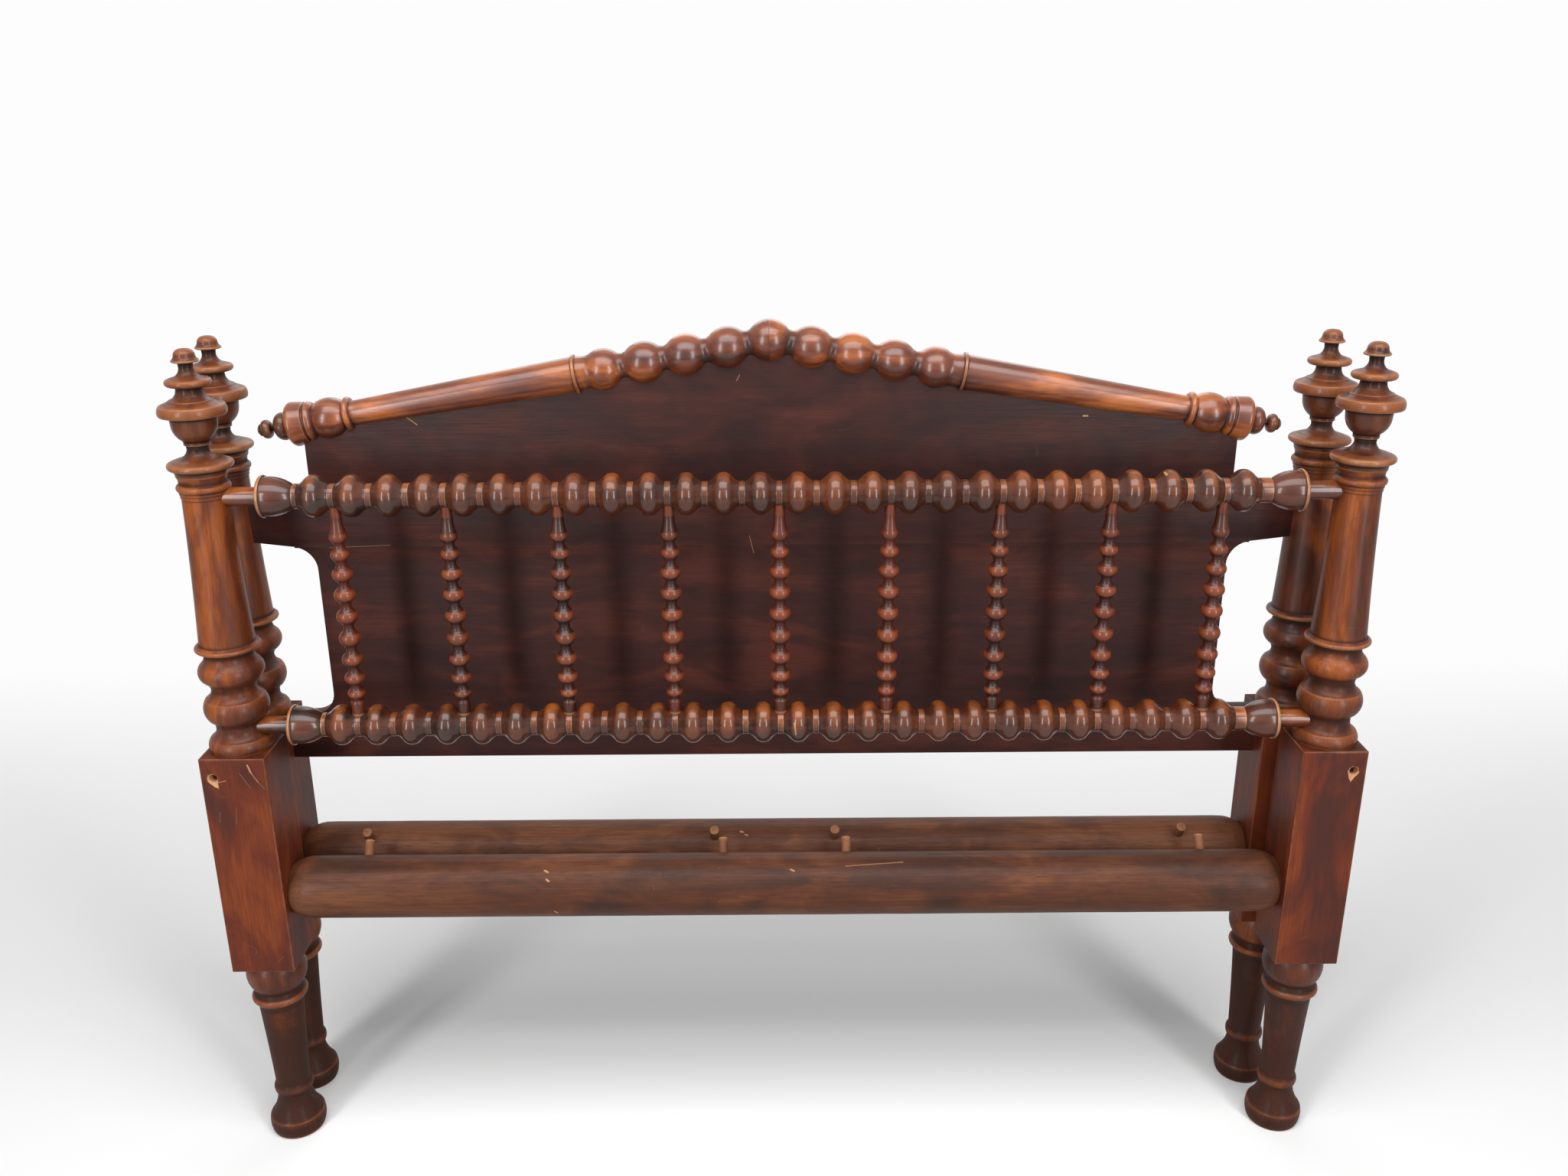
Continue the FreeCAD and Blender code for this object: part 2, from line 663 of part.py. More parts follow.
def make_upper_board():
    """Gabled board over the glue line, with an ear at each lower corner that thins a little
    from the hollow to the column."""
    board = new_body("head_panel_upper_board", HEAD_X, HEAD_Y)
    ease = 22
    glue = dims.glue_line
    ear = dims.ear_top
    corner = ease * (1 - math.sqrt(0.5))
    sketch = new_sketch(board, "outline", "XZ_Plane")
    draw_outline(sketch, (-COLUMN_SHOULDER, glue + 5), [
        (-FLARE, glue),
        (FLARE, glue),
        (COLUMN_SHOULDER, glue + 5),
        (COLUMN_SHOULDER, ear),
        (PANEL + ease, ear),
        (PANEL + corner, ear + corner, PANEL, ear + ease),
        (PANEL, panel_edge(PANEL, 1)),
        (dims.crest_shift, PEAK),
        (-PANEL, panel_edge(PANEL, -1)),
        (-PANEL, ear + ease),
        (-PANEL - corner, ear + corner, -PANEL - ease, ear),
        (-COLUMN_SHOULDER, ear),
    ])
    pad(board, "outline", sketch, dims.panel_thickness, both_ways=True)
    add_panel_tenons(board, *HIGH_TENON, COLUMN_SHOULDER)


def make_lower_board():
    """Board below the glue line, hollowed at each side down to a lower ear."""
    board = new_body("head_panel_lower_board", HEAD_X, HEAD_Y)
    glue = dims.glue_line
    low = dims.panel_bottom
    ear = dims.low_ear_top
    lip = 1.5
    sweep = 30
    ease = 30
    sweep_mid = sweep * (1 - math.sqrt(0.5))
    ease_mid = ease * (1 - math.sqrt(0.5))

    def right_side():
        return [
            (FLARE, glue),
            (FLARE, glue - lip),
            (LOW_SIDE + sweep_mid, glue - sweep_mid, LOW_SIDE, glue - sweep),
            (LOW_SIDE, ear + ease),
            (LOW_SIDE + ease_mid, ear + ease_mid, LOW_SIDE + ease, ear),
            (BLOCK_SHOULDER, ear),
            (BLOCK_SHOULDER, low),
        ]

    def left_side():
        return [
            (-BLOCK_SHOULDER, low),
            (-BLOCK_SHOULDER, ear),
            (-LOW_SIDE - ease, ear),
            (-LOW_SIDE - ease_mid, ear + ease_mid, -LOW_SIDE, ear + ease),
            (-LOW_SIDE, glue - sweep),
            (-LOW_SIDE - sweep_mid, glue - sweep_mid, -FLARE, glue - lip),
        ]

    sketch = new_sketch(board, "outline", "XZ_Plane")
    draw_outline(sketch, (-FLARE, glue), right_side() + left_side())
    pad(board, "outline", sketch, dims.panel_thickness, both_ways=True)
    add_panel_tenons(board, *LOW_TENON, BLOCK_SHOULDER)


make_upper_board()
make_lower_board()

# ---------------------------------------------------------------- crest

CREST_BEADS = 5
CREST_BEAD_HALF = dims.crest_pitch / 2 - 3.5
TIP_SOCKET = 14.0
TIP_PIN_RADIUS = 4.5


def crest_outline():
    """(station, radius) out along a half of the crest: five beads from the peak, a thin
    ring, a long taper, a ring, a bulge and a stepped drum with the tip's socket."""
    bead = dims.crest_bead_radius
    valley = dims.crest_valley_radius
    steps = [(-CREST_BEAD_HALF, valley)]
    for number in range(CREST_BEADS - 1):
        centre = dims.crest_pitch * number
        steps.append((centre, bead, centre + CREST_BEAD_HALF, valley))
        steps.append((centre + dims.crest_pitch - CREST_BEAD_HALF, valley))
    last = dims.crest_pitch * (CREST_BEADS - 1)
    end = dims.crest_length
    steps += [
        (last, bead, last + 19.3, valley + 3.6),
        (last + 30.5, valley + 5.2),
        (last + 31, bead - 1.2),
        (last + 34.2, bead - 1.2),
        (last + 35, bead - 3.5),
        (end - 83, valley + 0.6),
        (end - 78, valley + 1),
        (end - 74, bead - 3.5, end - 70, valley + 1.8),
        (end - 50, bead - 0.3, end - 32.5, valley + 4.2),
        (end - 29.5, bead - 2, end - 25, bead - 1),
        (end - 24, bead - 2.4),
        (end - 22, bead - 2.4),
        (end - 21, bead - 0.4),
        (end - 7, bead + 1.8),
        (end - 2, bead + 0.3, end, bead - 4.2),
        (end, TIP_PIN_RADIUS + 0.1),
        (end - TIP_SOCKET, TIP_PIN_RADIUS + 0.1),
        (end - TIP_SOCKET, 0),
    ]
    return (-CREST_BEAD_HALF, 0), [tuple(Size.of(size) for size in step) for step in steps]


def tip_outline():
    """(station, radius) of a tip: pin, ball, thin neck and ridged button."""
    end = dims.crest_length
    steps = [
        (end - TIP_SOCKET + 1, TIP_PIN_RADIUS),
        (end + 0.1, TIP_PIN_RADIUS),
        (end + 0.1, 11.5),
        (end + 9, 17.1, end + 18.6, 6.5),
        (end + 20.4, 3.3),
        (end + 23.6, 3.3),
        (end + 24.6, 8),
        (end + 29, 11.6, end + 34, 10.2),
        (end + 34.5, 8),
        (end + 37.8, 7.4),
        (end + 40.5, 4),
        (end + 40.5, 0),
    ]
    return (end - TIP_SOCKET + 1, 0), [tuple(Size.of(size) for size in step) for step in steps]


def cut_mitre(half, side):
    """Trims a half of the crest to the upright plane through the peak."""
    clear = 70
    lean = dims.crest_rise * clear
    sketch = new_sketch(half, "mitre", "XZ_Plane")
    draw_outline(sketch, (-lean * side, clear), [
        (lean * side, -clear),
        (-clear * side, -clear),
        (-clear * side, clear),
    ])
    cut(half, "mitre", sketch, both_ways=True)


def cut_panel_groove(half, side):
    """The groove under the crest that holds the panel's upper edge."""
    width = dims.panel_thickness / 2 + dims.fit_gap
    past_mitre = 40
    past_panel = 7
    stop = (PANEL - dims.crest_shift * side) * SLOPE_LENGTH + past_panel
    sketch = new_sketch(half, "groove", "XY_Plane", lift=dims.fit_gap - dims.groove_depth)
    draw_box(sketch, -past_mitre * side, stop * side, -width, width)
    cut(half, "groove", sketch)


for hand, side in SIDES:
    place = (HEAD_X + dims.crest_shift, HEAD_Y, dims.crest_height)
    slope = dims.crest_rise.slope_angle() * side
    crest_half = new_body(f"head_crest_rail_{hand}", *place, turn=("Y", slope))
    turn_lying(crest_half, "turning", *crest_outline(), side)
    cut_mitre(crest_half, side)
    cut_panel_groove(crest_half, side)
    tip = new_body(f"head_crest_tip_{hand}", *place, turn=("Y", slope))
    turn_lying(tip, "turning", *tip_outline(), side)

# ---------------------------------------------------------------- checks and files

doc.recompute()

bodies = [item for item in doc.Objects if item.TypeId == "PartDesign::Body"]
for item in doc.Objects:
    if "Invalid" in item.State or "Error" in item.State:
        raise RuntimeError(f"{item.Label} failed: {item.State}")
for body in bodies:
    if body.Shape.isNull() or not body.Shape.isValid() or len(body.Shape.Solids) != 1:
        raise RuntimeError(f"{body.Label} is not one valid solid")
    for item in body.Group:
        if item.TypeId == "PartDesign::Pocket" and item.BaseFeature.Shape.Volume - item.Shape.Volume < 1.0:
            raise RuntimeError(f"{item.Label} cuts nothing")
for body in bodies:
    body.Shape.exportStep(f"parts/{body.Label}.step")
print(f"{len(bodies)} pieces written")
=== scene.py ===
"""Looks of a turned spindle bed: its footboard and headboard, stood one behind the other.

Every turned piece is an outline run through one lathe tree, what repeats is set out by one
tree of copies, and every piece wears a wood finish made of shared grain and wear groups; the
wear group also paints light on faces that look up and shade on faces that look down and near the floor.
Sizes are in millimetres in the classes and in metres in the meshes.
"""

import logging
import math
from dataclasses import dataclass
from enum import Enum

import bmesh
import bpy
import numpy as np
from mathutils import Matrix, Vector


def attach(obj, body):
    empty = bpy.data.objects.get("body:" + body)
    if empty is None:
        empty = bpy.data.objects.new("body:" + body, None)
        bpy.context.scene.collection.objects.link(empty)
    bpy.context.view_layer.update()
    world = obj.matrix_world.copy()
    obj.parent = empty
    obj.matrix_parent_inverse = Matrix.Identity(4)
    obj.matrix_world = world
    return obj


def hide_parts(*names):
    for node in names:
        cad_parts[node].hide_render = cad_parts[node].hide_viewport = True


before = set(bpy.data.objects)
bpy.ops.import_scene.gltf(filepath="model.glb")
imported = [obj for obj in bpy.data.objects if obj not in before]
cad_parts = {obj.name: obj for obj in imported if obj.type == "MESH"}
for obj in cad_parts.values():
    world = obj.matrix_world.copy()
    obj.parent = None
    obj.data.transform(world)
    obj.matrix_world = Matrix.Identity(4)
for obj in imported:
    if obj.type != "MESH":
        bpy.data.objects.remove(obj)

LOG = logging.getLogger("spindle_bed")
MM = 0.001
Step = tuple[float, ...]
Colour = tuple[float, float, float]
Place = tuple[float, float, float]

FOOT = "footboard"
HEAD = "headboard"
END_GAP = 97.0
END_SHIFT = 13.0
POST_SPACING = 1343.0
HALF_SPACING = POST_SPACING / 2
BLOCK = 80.0
HALF_BLOCK = BLOCK / 2
BLOCK_TOP = 575.0
COLUMN_TOP = 921.0
BEAD_PITCH = 43.25
COLLAR = 14.8
RAIL_SHIFT = -4.0
TOP_RAIL = 893.5
LOWER_RAIL = 602.0
CROSS_RADIUS = 39.5
CROSS_HEIGHT = {FOOT: 373.0, HEAD: 369.0}
PANEL_THICKNESS = 20.0
GLUE_LINE = 804.5
CREST_HEIGHT = 1056.4
CREST_RISE = 0.1705
CREST_SHIFT = -1.8
NODE_PREFIX = {FOOT: "foot", HEAD: "head"}

# How finely an outline is traced, how widely it is smoothed to tell what stands proud of it,
# and how far it may turn, run on or change before another of its points is kept.
OUTLINE_STEP = 0.4
EDGE_REACH, EDGE_SCALE = 1.0, 0.2
RELIEF_REACH, RELIEF_SCALE = 4.5, 1.2
KEPT_TURN = 8.0
KEPT_RUN = 14.0
KEPT_RELIEF = 0.22
KEPT_EDGE = 0.3

WOBBLE_PITCH = 14.0
WOBBLE_GROWTH = 100.0
LATHE_WELD = 0.01
SHARP_ANGLE = 42.0
SEED_STEP = 7


class Side(Enum):
    """The two hands of an end, as seen from the foot of the bed."""

    LEFT = -1
    RIGHT = 1

    @property
    def word(self) -> str:
        """The side's name in lower case."""
        return self.name.lower()


class Lay(Enum):
    """Which way a turned piece lies, which is the way its grain runs."""

    UPRIGHT = "upright"
    ACROSS = "across"

    @property
    def matrix(self) -> Matrix:
        """Turns a piece made along Z to lie this way.

        Returns:
            The turn.
        """
        if self is Lay.UPRIGHT:
            return Matrix.Identity(4)
        return Matrix(((0, 0, 1, 0), (1, 0, 0, 0), (0, 1, 0, 0), (0, 0, 0, 1)))

    @property
    def grain_turn(self) -> Place:
        """Mapping rotation that brings the grain onto X."""
        return (0.0, math.pi / 2, 0.0) if self is Lay.UPRIGHT else (0.0, 0.0, 0.0)


def srgb(red: int, green: int, blue: int) -> Colour:
    """A screen colour as linear values.

    Args:
        red: from 0 to 255.
        green: from 0 to 255.
        blue: from 0 to 255.

    Returns:
        The linear colour.
    """
    def linear(value: float) -> float:
        """One channel, from 0 to 1, made linear."""
        return value / 12.92 if value <= 0.04045 else ((value + 0.055) / 1.055) ** 2.4

    return linear(red / 255), linear(green / 255), linear(blue / 255)


def end_centre(body: str) -> tuple[float, float]:
    """The middle of an end on the floor, in millimetres.

    Args:
        body: FOOT or HEAD.

    Returns:
        Its x and y.
    """
    sign = 1 if body == FOOT else -1
    return sign * END_SHIFT / 2, -sign * END_GAP / 2


def post_axis(body: str, side: Side) -> Place:
    """A post's axis on the floor, in millimetres.

    Args:
        body: FOOT or HEAD.
        side: which of the end's two posts.

    Returns:
        Its x, y and z.
    """
    x, y = end_centre(body)
    return x + HALF_SPACING * side.value, y, 0.0


# ------------------------------------------------------------------------------ outlines


def blurred(values: np.ndarray, reach: float) -> np.ndarray:
    """Evenly spaced points, smoothed, with both ends kept.

    Args:
        values: rows of points.
        reach: the smoothing's width in rows.

    Returns:
        The smoothed rows.
    """
    width = max(1, int(math.ceil(3 * reach)))
    weights = np.exp(-0.5 * (np.arange(-width, width + 1) / reach) ** 2)
    weights /= weights.sum()
    width = min(width, len(values) - 1)
    weights = weights[len(weights) // 2 - width:len(weights) // 2 + width + 1]
    weights /= weights.sum()
    before = 2 * values[0] - values[width:0:-1]
    after = 2 * values[-1] - values[-2:-width - 2:-1]
    padded = np.concatenate([before, values, after])
    return np.stack([np.convolve(column, weights, "valid") for column in padded.T], axis=1)


@dataclass(frozen=True)
class Outline:
    """The outside of a turned piece, as points of (station, radius) with their relief.

    Relief is above zero on what stands proud, where hands rub it, and below zero in the
    hollows, where dirt and old varnish stay. Edge is the same for crisp corners alone.
    """

    points: np.ndarray
    relief: np.ndarray
    edge: np.ndarray

    @staticmethod
    def arc(first: np.ndarray, middle: np.ndarray, last: np.ndarray) -> np.ndarray:
        """Points along the arc through three points, without its first.

        Args:
            first: where the arc starts.
            middle: a point that it goes through.
            last: where it ends.

        Returns:
            The points.
        """
        (ax, ay), (bx, by), (cx, cy) = first, middle, last
        area = 2 * (ax * (by - cy) + bx * (cy - ay) + cx * (ay - by))
        if abs(area) < 1e-9:
            return Outline.run(first, last)
        squares = (ax * ax + ay * ay, bx * bx + by * by, cx * cx + cy * cy)
        centre = np.array([
            (squares[0] * (by - cy) + squares[1] * (cy - ay) + squares[2] * (ay - by)) / area,
            (squares[0] * (cx - bx) + squares[1] * (ax - cx) + squares[2] * (bx - ax)) / area,
        ])
        radius = float(np.linalg.norm(first - centre))
        start, end = (math.atan2(*(point - centre)[::-1]) for point in (first, last))
        turn = math.copysign(1.0, -area)
        sweep = (end - start) * -turn % (2 * math.pi)
        count = max(3, int(radius * sweep / OUTLINE_STEP))
        angles = start - turn * sweep * np.arange(1, count + 1) / count
        return centre + radius * np.stack([np.cos(angles), np.sin(angles)], axis=1)

    @staticmethod
    def run(first: np.ndarray, last: np.ndarray) -> np.ndarray:
        """Points along a straight run, without its first.

        Args:
            first: where the run starts.
            last: where it ends.

        Returns:
            The points.
        """
        count = max(1, int(np.linalg.norm(last - first) / OUTLINE_STEP))
        return first + (last - first) * (np.arange(1, count + 1) / count)[:, None]

    @classmethod
    def traced(cls, start: Step, steps: list[Step], upright: bool = False, ease: float = 0.45,
               bands: tuple[Step, ...] = ()) -> "Outline":
        """Traces an outline from its corners.

        Args:
            start: the first point.
            steps: two numbers for a straight run to a point, four for an arc through a
                point to another.
            upright: whether points are written (radius, height), not (station, radius).
            ease: how far worn corners are rounded, in millimetres.
            bands: stations from and to, and what is added there to relief and to edge.

        Returns:
            The outline, with few points where it is straight.
        """
        def flat(pair: Step) -> np.ndarray:
            """A point as (station, radius)."""
            return np.array(pair[::-1] if upright else pair, float)

        path = [flat(start)[None, :]]
        for step in steps:
            here = path[-1][-1]
            last = flat(step[-2:])
            if len(step) == 2:
                path.append(cls.run(here, last))
            else:
                path.append(cls.arc(here, flat(step[:2]), last))
        dense = np.concatenate(path)
        lengths = np.concatenate([[0], np.cumsum(np.linalg.norm(np.diff(dense, axis=0), axis=1))])
        even = np.linspace(0, lengths[-1], int(lengths[-1] / OUTLINE_STEP) + 2)
        dense = np.stack([np.interp(even, lengths, column) for column in dense.T], axis=1)
        dense = blurred(dense, ease / OUTLINE_STEP)
        dense[:, 1] = np.maximum(dense[:, 1], 0)
        tangent = np.gradient(dense, axis=0)
        tangent /= np.maximum(np.linalg.norm(tangent, axis=1), 1e-9)[:, None]
        outward = np.stack([-tangent[:, 1], tangent[:, 0]], axis=1)
        edge = ((dense - blurred(dense, EDGE_REACH / OUTLINE_STEP)) * outward).sum(axis=1) / EDGE_SCALE
        relief = ((dense - blurred(dense, RELIEF_REACH / OUTLINE_STEP)) * outward).sum(axis=1) / RELIEF_SCALE
        for low, high, proud, crisp in bands:
            within = (dense[:, 0] > low) & (dense[:, 0] < high)
            relief[within] += proud
            edge[within] += crisp
        return cls.thinned(dense, np.clip(relief, -1, 1), np.clip(edge, -1, 1), tangent)

    @classmethod
    def thinned(cls, dense: np.ndarray, relief: np.ndarray, edge: np.ndarray,
                tangent: np.ndarray) -> "Outline":
        """Keeps a point where the outline has turned, gone far or changed its relief.

        Args:
            dense: the evenly traced points.
            relief: their relief.
            edge: their edge.
            tangent: the outline's direction at each.

        Returns:
            The outline of the kept points.
        """
        def differs(one: int, other: int) -> bool:
            """Whether relief or edge changes enough between two points."""
            return (abs(relief[one] - relief[other]) > KEPT_RELIEF
                    or abs(edge[one] - edge[other]) > KEPT_EDGE)

        heading = np.unwrap(np.arctan2(tangent[:, 1], tangent[:, 0]))
        kept = [0]
        for index in range(1, len(dense) - 1):
            last = kept[-1]
            turned = abs(heading[index] - heading[last]) > math.radians(KEPT_TURN)
            gone = np.linalg.norm(dense[index] - dense[last]) > KEPT_RUN
            changed = differs(index, last)
            if differs(index, index - 1) and last != index - 1:
                kept.append(index - 1)
            if turned or gone or changed:
                kept.append(index)
        kept.append(len(dense) - 1)
        return cls(dense[kept], relief[kept], edge[kept])


# ------------------------------------------------------------------------ geometry trees


class Tree:
    """A small helper that writes a Geometry Nodes or shader node tree."""

    def __init__(self, tree: bpy.types.NodeTree) -> None:
        """Keeps the tree and its node list."""
        self.tree = tree
        self.count = 0

    def add(self, kind: str, **settings: object) -> bpy.types.Node:
        """Adds a node and sets its properties.

        Args:
            kind: the node's type name.
            **settings: properties of the node.

        Returns:
            The node.
        """
        node = self.tree.nodes.new(kind)
        node.location = (180 * (self.count % 12), -220 * (self.count // 12))
        self.count += 1
        for name, value in settings.items():
            setattr(node, name, value)
        return node

    def feed(self, socket: bpy.types.NodeSocket, value: object) -> None:
        """Links a socket into another, or sets the other's plain value.

        Args:
            socket: the input socket.
            value: an output socket or a plain value.
        """
        if isinstance(value, bpy.types.NodeSocket):
            self.tree.links.new(value, socket)
        elif value is not None:
            socket.default_value = value

    def fed(self, kind: str, values: dict[str | int, object], **settings: object) -> bpy.types.Node:
        """Adds a node and feeds its inputs.

        Args:
            kind: the node's type name.
            values: what goes into its inputs, by name or number.
            **settings: properties of the node.

        Returns:
            The node.
        """
        node = self.add(kind, **settings)
        for key, value in values.items():
            self.feed(node.inputs[key], value)
        return node

    def maths(self, operation: str, first: object, second: object = None,
              clamp: bool = False) -> bpy.types.NodeSocket:
        """A Math node.

        Args:
            operation: the Math node's operation.
            first: its first value.
            second: its second value, where it takes one.
            clamp: whether the result is held between 0 and 1.

        Returns:
            The result's socket.
        """
        node = self.add("ShaderNodeMath", operation=operation, use_clamp=clamp)
        for socket, value in zip(node.inputs, (first, second)):
            self.feed(socket, value)
        return node.outputs[0]

    def total(self, start: float, shares: tuple[tuple[bpy.types.NodeSocket, float], ...],
              clamp: bool = False) -> bpy.types.NodeSocket:
        """A start value with shares of several masks added.

        Args:
            start: the start value.
            shares: each mask and how much of it is added.
            clamp: whether the result is held between 0 and 1.

        Returns:
            The result's socket.
        """
        added: object = start
        for number, (mask, share) in enumerate(shares, 1):
            added = self.maths("ADD", added, self.maths("MULTIPLY", mask, share),
                               clamp=clamp and number == len(shares))
        return added

    def vector(self, operation: str, first: object, second: object = None,
               scale: object = None) -> bpy.types.NodeSocket:
        """A Vector Math node.

        Args:
            operation: the node's operation.
            first: its first vector.
            second: its second vector.
            scale: its scale, for SCALE.

        Returns:
            The result's socket, a number for DOT_PRODUCT and LENGTH.
        """
        node = self.add("ShaderNodeVectorMath", operation=operation)
        self.feed(node.inputs[0], first)
        self.feed(node.inputs[1], second)
        if scale is not None:
            self.feed(node.inputs["Scale"], scale)
        return node.outputs["Value" if operation in ("DOT_PRODUCT", "LENGTH") else "Vector"]

    def ramp(self, value: object, low: float, high: float) -> bpy.types.NodeSocket:
        """A smooth rise from 0 to 1 as a value goes from low to high.

        Args:
            value: the value.
            low: where the rise starts.
            high: where it ends.

        Returns:
            The result's socket.
        """
        node = self.fed("ShaderNodeMapRange", {"Value": value, "From Min": low, "From Max": high},
                        interpolation_type="SMOOTHSTEP")
        return node.outputs["Result"]

    def noise(self, vector: object, detail: float = 3.0, roughness: float = 0.55,
              distortion: float = 0.0) -> bpy.types.NodeSocket:
        """A noise value between 0 and 1.

        Args:
            vector: where it is read, already scaled.
            detail: how many finer layers it has.
            roughness: how strong they are.
            distortion: how far it is bent.

        Returns:
            The result's socket.
        """
        node = self.fed("ShaderNodeTexNoise", {
            "Vector": vector, "Scale": 1.0, "Detail": detail, "Roughness": roughness,
            "Distortion": distortion})
        return node.outputs[0]


class TreeLibrary:
    """The Geometry Nodes trees, each built once."""

    def __init__(self) -> None:
        """Builds the lathe and the copies trees."""
        self.lathe = self.build_lathe()
        self.copies = self.build_copies()

    @staticmethod
    def new_tree(name: str, inputs: list[tuple[str, str]]) -> Tree:
        """Starts a tree with a geometry in and out and further named inputs.

        Args:
            name: the tree's name.
            inputs: names and socket types of its inputs.

        Returns:
            The helper round the new tree.
        """
        tree = bpy.data.node_groups.new(name, "GeometryNodeTree")
        tree.interface.new_socket("Geometry", in_out="INPUT", socket_type="NodeSocketGeometry")
        for label, kind in inputs:
            tree.interface.new_socket(label, in_out="INPUT", socket_type=kind)
        tree.interface.new_socket("Geometry", in_out="OUTPUT", socket_type="NodeSocketGeometry")
        return Tree(tree)

    def build_lathe(self) -> bpy.types.NodeTree:
        """A tree that turns an outline, drawn as points (radius, 0, station), about Z.

        Returns:
            The tree.
        """
        t = self.new_tree("lathe", [
            ("Sides", "NodeSocketInt"),
            ("Unevenness", "NodeSocketFloat"),
            ("Seed", "NodeSocketInt"),
            ("Finish", "NodeSocketMaterial"),
        ])
        into = t.add("NodeGroupInput").outputs
        size = t.fed("GeometryNodeAttributeDomainSize", {"Geometry": into["Geometry"]}, component="MESH")
        columns = t.maths("ADD", into["Sides"], 1.0)
        grid = t.fed("GeometryNodeMeshGrid", {
            "Vertices X": size.outputs["Point Count"], "Vertices Y": columns})
        index = t.add("GeometryNodeInputIndex").outputs[0]
        ring = t.maths("FLOOR", t.maths("DIVIDE", t.maths("ADD", index, 0.5), columns))
        column = t.maths("SUBTRACT", index, t.maths("MULTIPLY", ring, columns))
        angle = t.maths("MULTIPLY", t.maths("DIVIDE", column, into["Sides"]), math.tau)
        cosine, sine = t.maths("COSINE", angle), t.maths("SINE", angle)

        def sampled(kind: str, value: bpy.types.NodeSocket) -> bpy.types.NodeSocket:
            """What the outline has at this ring."""
            node = t.fed("GeometryNodeSampleIndex", {
                "Geometry": into["Geometry"], "Value": value, "Index": ring,
            }, data_type=kind, domain="POINT")
            return node.outputs["Value"]

        point = sampled("FLOAT_VECTOR", t.add("GeometryNodeInputPosition").outputs[0])
        outline = t.fed("ShaderNodeSeparateXYZ", {0: point}).outputs
        along = t.maths("ADD", t.maths("MULTIPLY", outline["Z"], WOBBLE_PITCH), into["Seed"])
        wobble = t.fed("ShaderNodeCombineXYZ", {"X": cosine, "Y": sine, "Z": along})
        swing = t.maths("SUBTRACT", t.noise(wobble.outputs[0], detail=2.0), 0.5)
        share = t.maths("MINIMUM", t.maths("MULTIPLY", outline["X"], WOBBLE_GROWTH), 1.0)
        swing = t.maths("MULTIPLY", t.maths("MULTIPLY", swing, share), into["Unevenness"])
        radius = t.maths("ADD", outline["X"], swing)
        place = t.fed("ShaderNodeCombineXYZ", {
            "X": t.maths("MULTIPLY", radius, cosine), "Y": t.maths("MULTIPLY", radius, sine),
            "Z": outline["Z"]})
        lathed = grid.outputs["Mesh"]
        for name in ("relief", "edge"):
            named = t.fed("GeometryNodeInputNamedAttribute", {"Name": name}, data_type="FLOAT")
            store = t.fed("GeometryNodeStoreNamedAttribute", {
                "Geometry": lathed, "Name": name, "Value": sampled("FLOAT", named.outputs["Attribute"]),
            }, data_type="FLOAT", domain="POINT")
            lathed = store.outputs["Geometry"]
        moved = t.fed("GeometryNodeSetPosition", {"Geometry": lathed, "Position": place.outputs[0]})
        weld = t.fed("GeometryNodeMergeByDistance", {
            "Geometry": moved.outputs["Geometry"], "Distance": LATHE_WELD * MM})
        flip = t.fed("GeometryNodeFlipFaces", {"Mesh": weld.outputs["Geometry"]})
        return self.ended(t, flip.outputs["Mesh"], into["Finish"])

    def build_copies(self) -> bpy.types.NodeTree:
        """A tree that sets copies of a piece on points, with end pieces welded on.

        Returns:
            The tree.
        """
        t = self.new_tree("copies", [
            ("Piece", "NodeSocketObject"),
            ("Ends", "NodeSocketObject"),
            ("Spin", "NodeSocketFloat"),
            ("Seed", "NodeSocketInt"),
            ("Weld", "NodeSocketFloat"),
            ("Finish", "NodeSocketMaterial"),
        ])
        into = t.add("NodeGroupInput").outputs
        piece, ends = (t.fed("GeometryNodeObjectInfo", {"Object": into[name]}, transform_space="ORIGINAL")
                       for name in ("Piece", "Ends"))
        chance = t.fed("FunctionNodeRandomValue", {"Seed": into["Seed"]}, data_type="FLOAT")
        drawn = next(out for out in chance.outputs if out.enabled)
        turn = t.fed("ShaderNodeCombineXYZ", {"Z": t.maths("MULTIPLY", drawn, into["Spin"])})
        euler = t.fed("FunctionNodeEulerToRotation", {0: turn.outputs[0]})
        copies = t.fed("GeometryNodeInstanceOnPoints", {
            "Points": into["Geometry"], "Instance": piece.outputs["Geometry"],
            "Rotation": euler.outputs[0]})
        store = t.fed("GeometryNodeStoreNamedAttribute", {
            "Geometry": copies.outputs["Instances"], "Name": "piece",
            "Value": t.maths("MULTIPLY", drawn, t.ramp(into["Spin"], 0.0, 0.01)),
        }, data_type="FLOAT", domain="INSTANCE")
        real = t.fed("GeometryNodeRealizeInstances", {"Geometry": store.outputs["Geometry"]})
        joined = t.fed("GeometryNodeJoinGeometry", {0: real.outputs["Geometry"]})
        t.feed(joined.inputs[0], ends.outputs["Geometry"])
        weld = t.fed("GeometryNodeMergeByDistance", {
            "Geometry": joined.outputs[0], "Distance": into["Weld"]})
        return self.ended(t, weld.outputs["Geometry"], into["Finish"])

    @staticmethod
    def ended(t: Tree, geometry: bpy.types.NodeSocket, finish: bpy.types.NodeSocket) -> bpy.types.NodeTree:
        """Ends a tree with Realize Instances and Set Material.

        Args:
            t: the helper round the tree.
            geometry: what the tree has made.
            finish: the material's socket.

        Returns:
            The tree.
        """
        real = t.fed("GeometryNodeRealizeInstances", {"Geometry": geometry})
        dressed = t.fed("GeometryNodeSetMaterial", {
            "Geometry": real.outputs["Geometry"], "Material": finish})
        t.fed("NodeGroupOutput", {"Geometry": dressed.outputs["Geometry"]})
        return t.tree


# ------------------------------------------------------------------------------ workshop


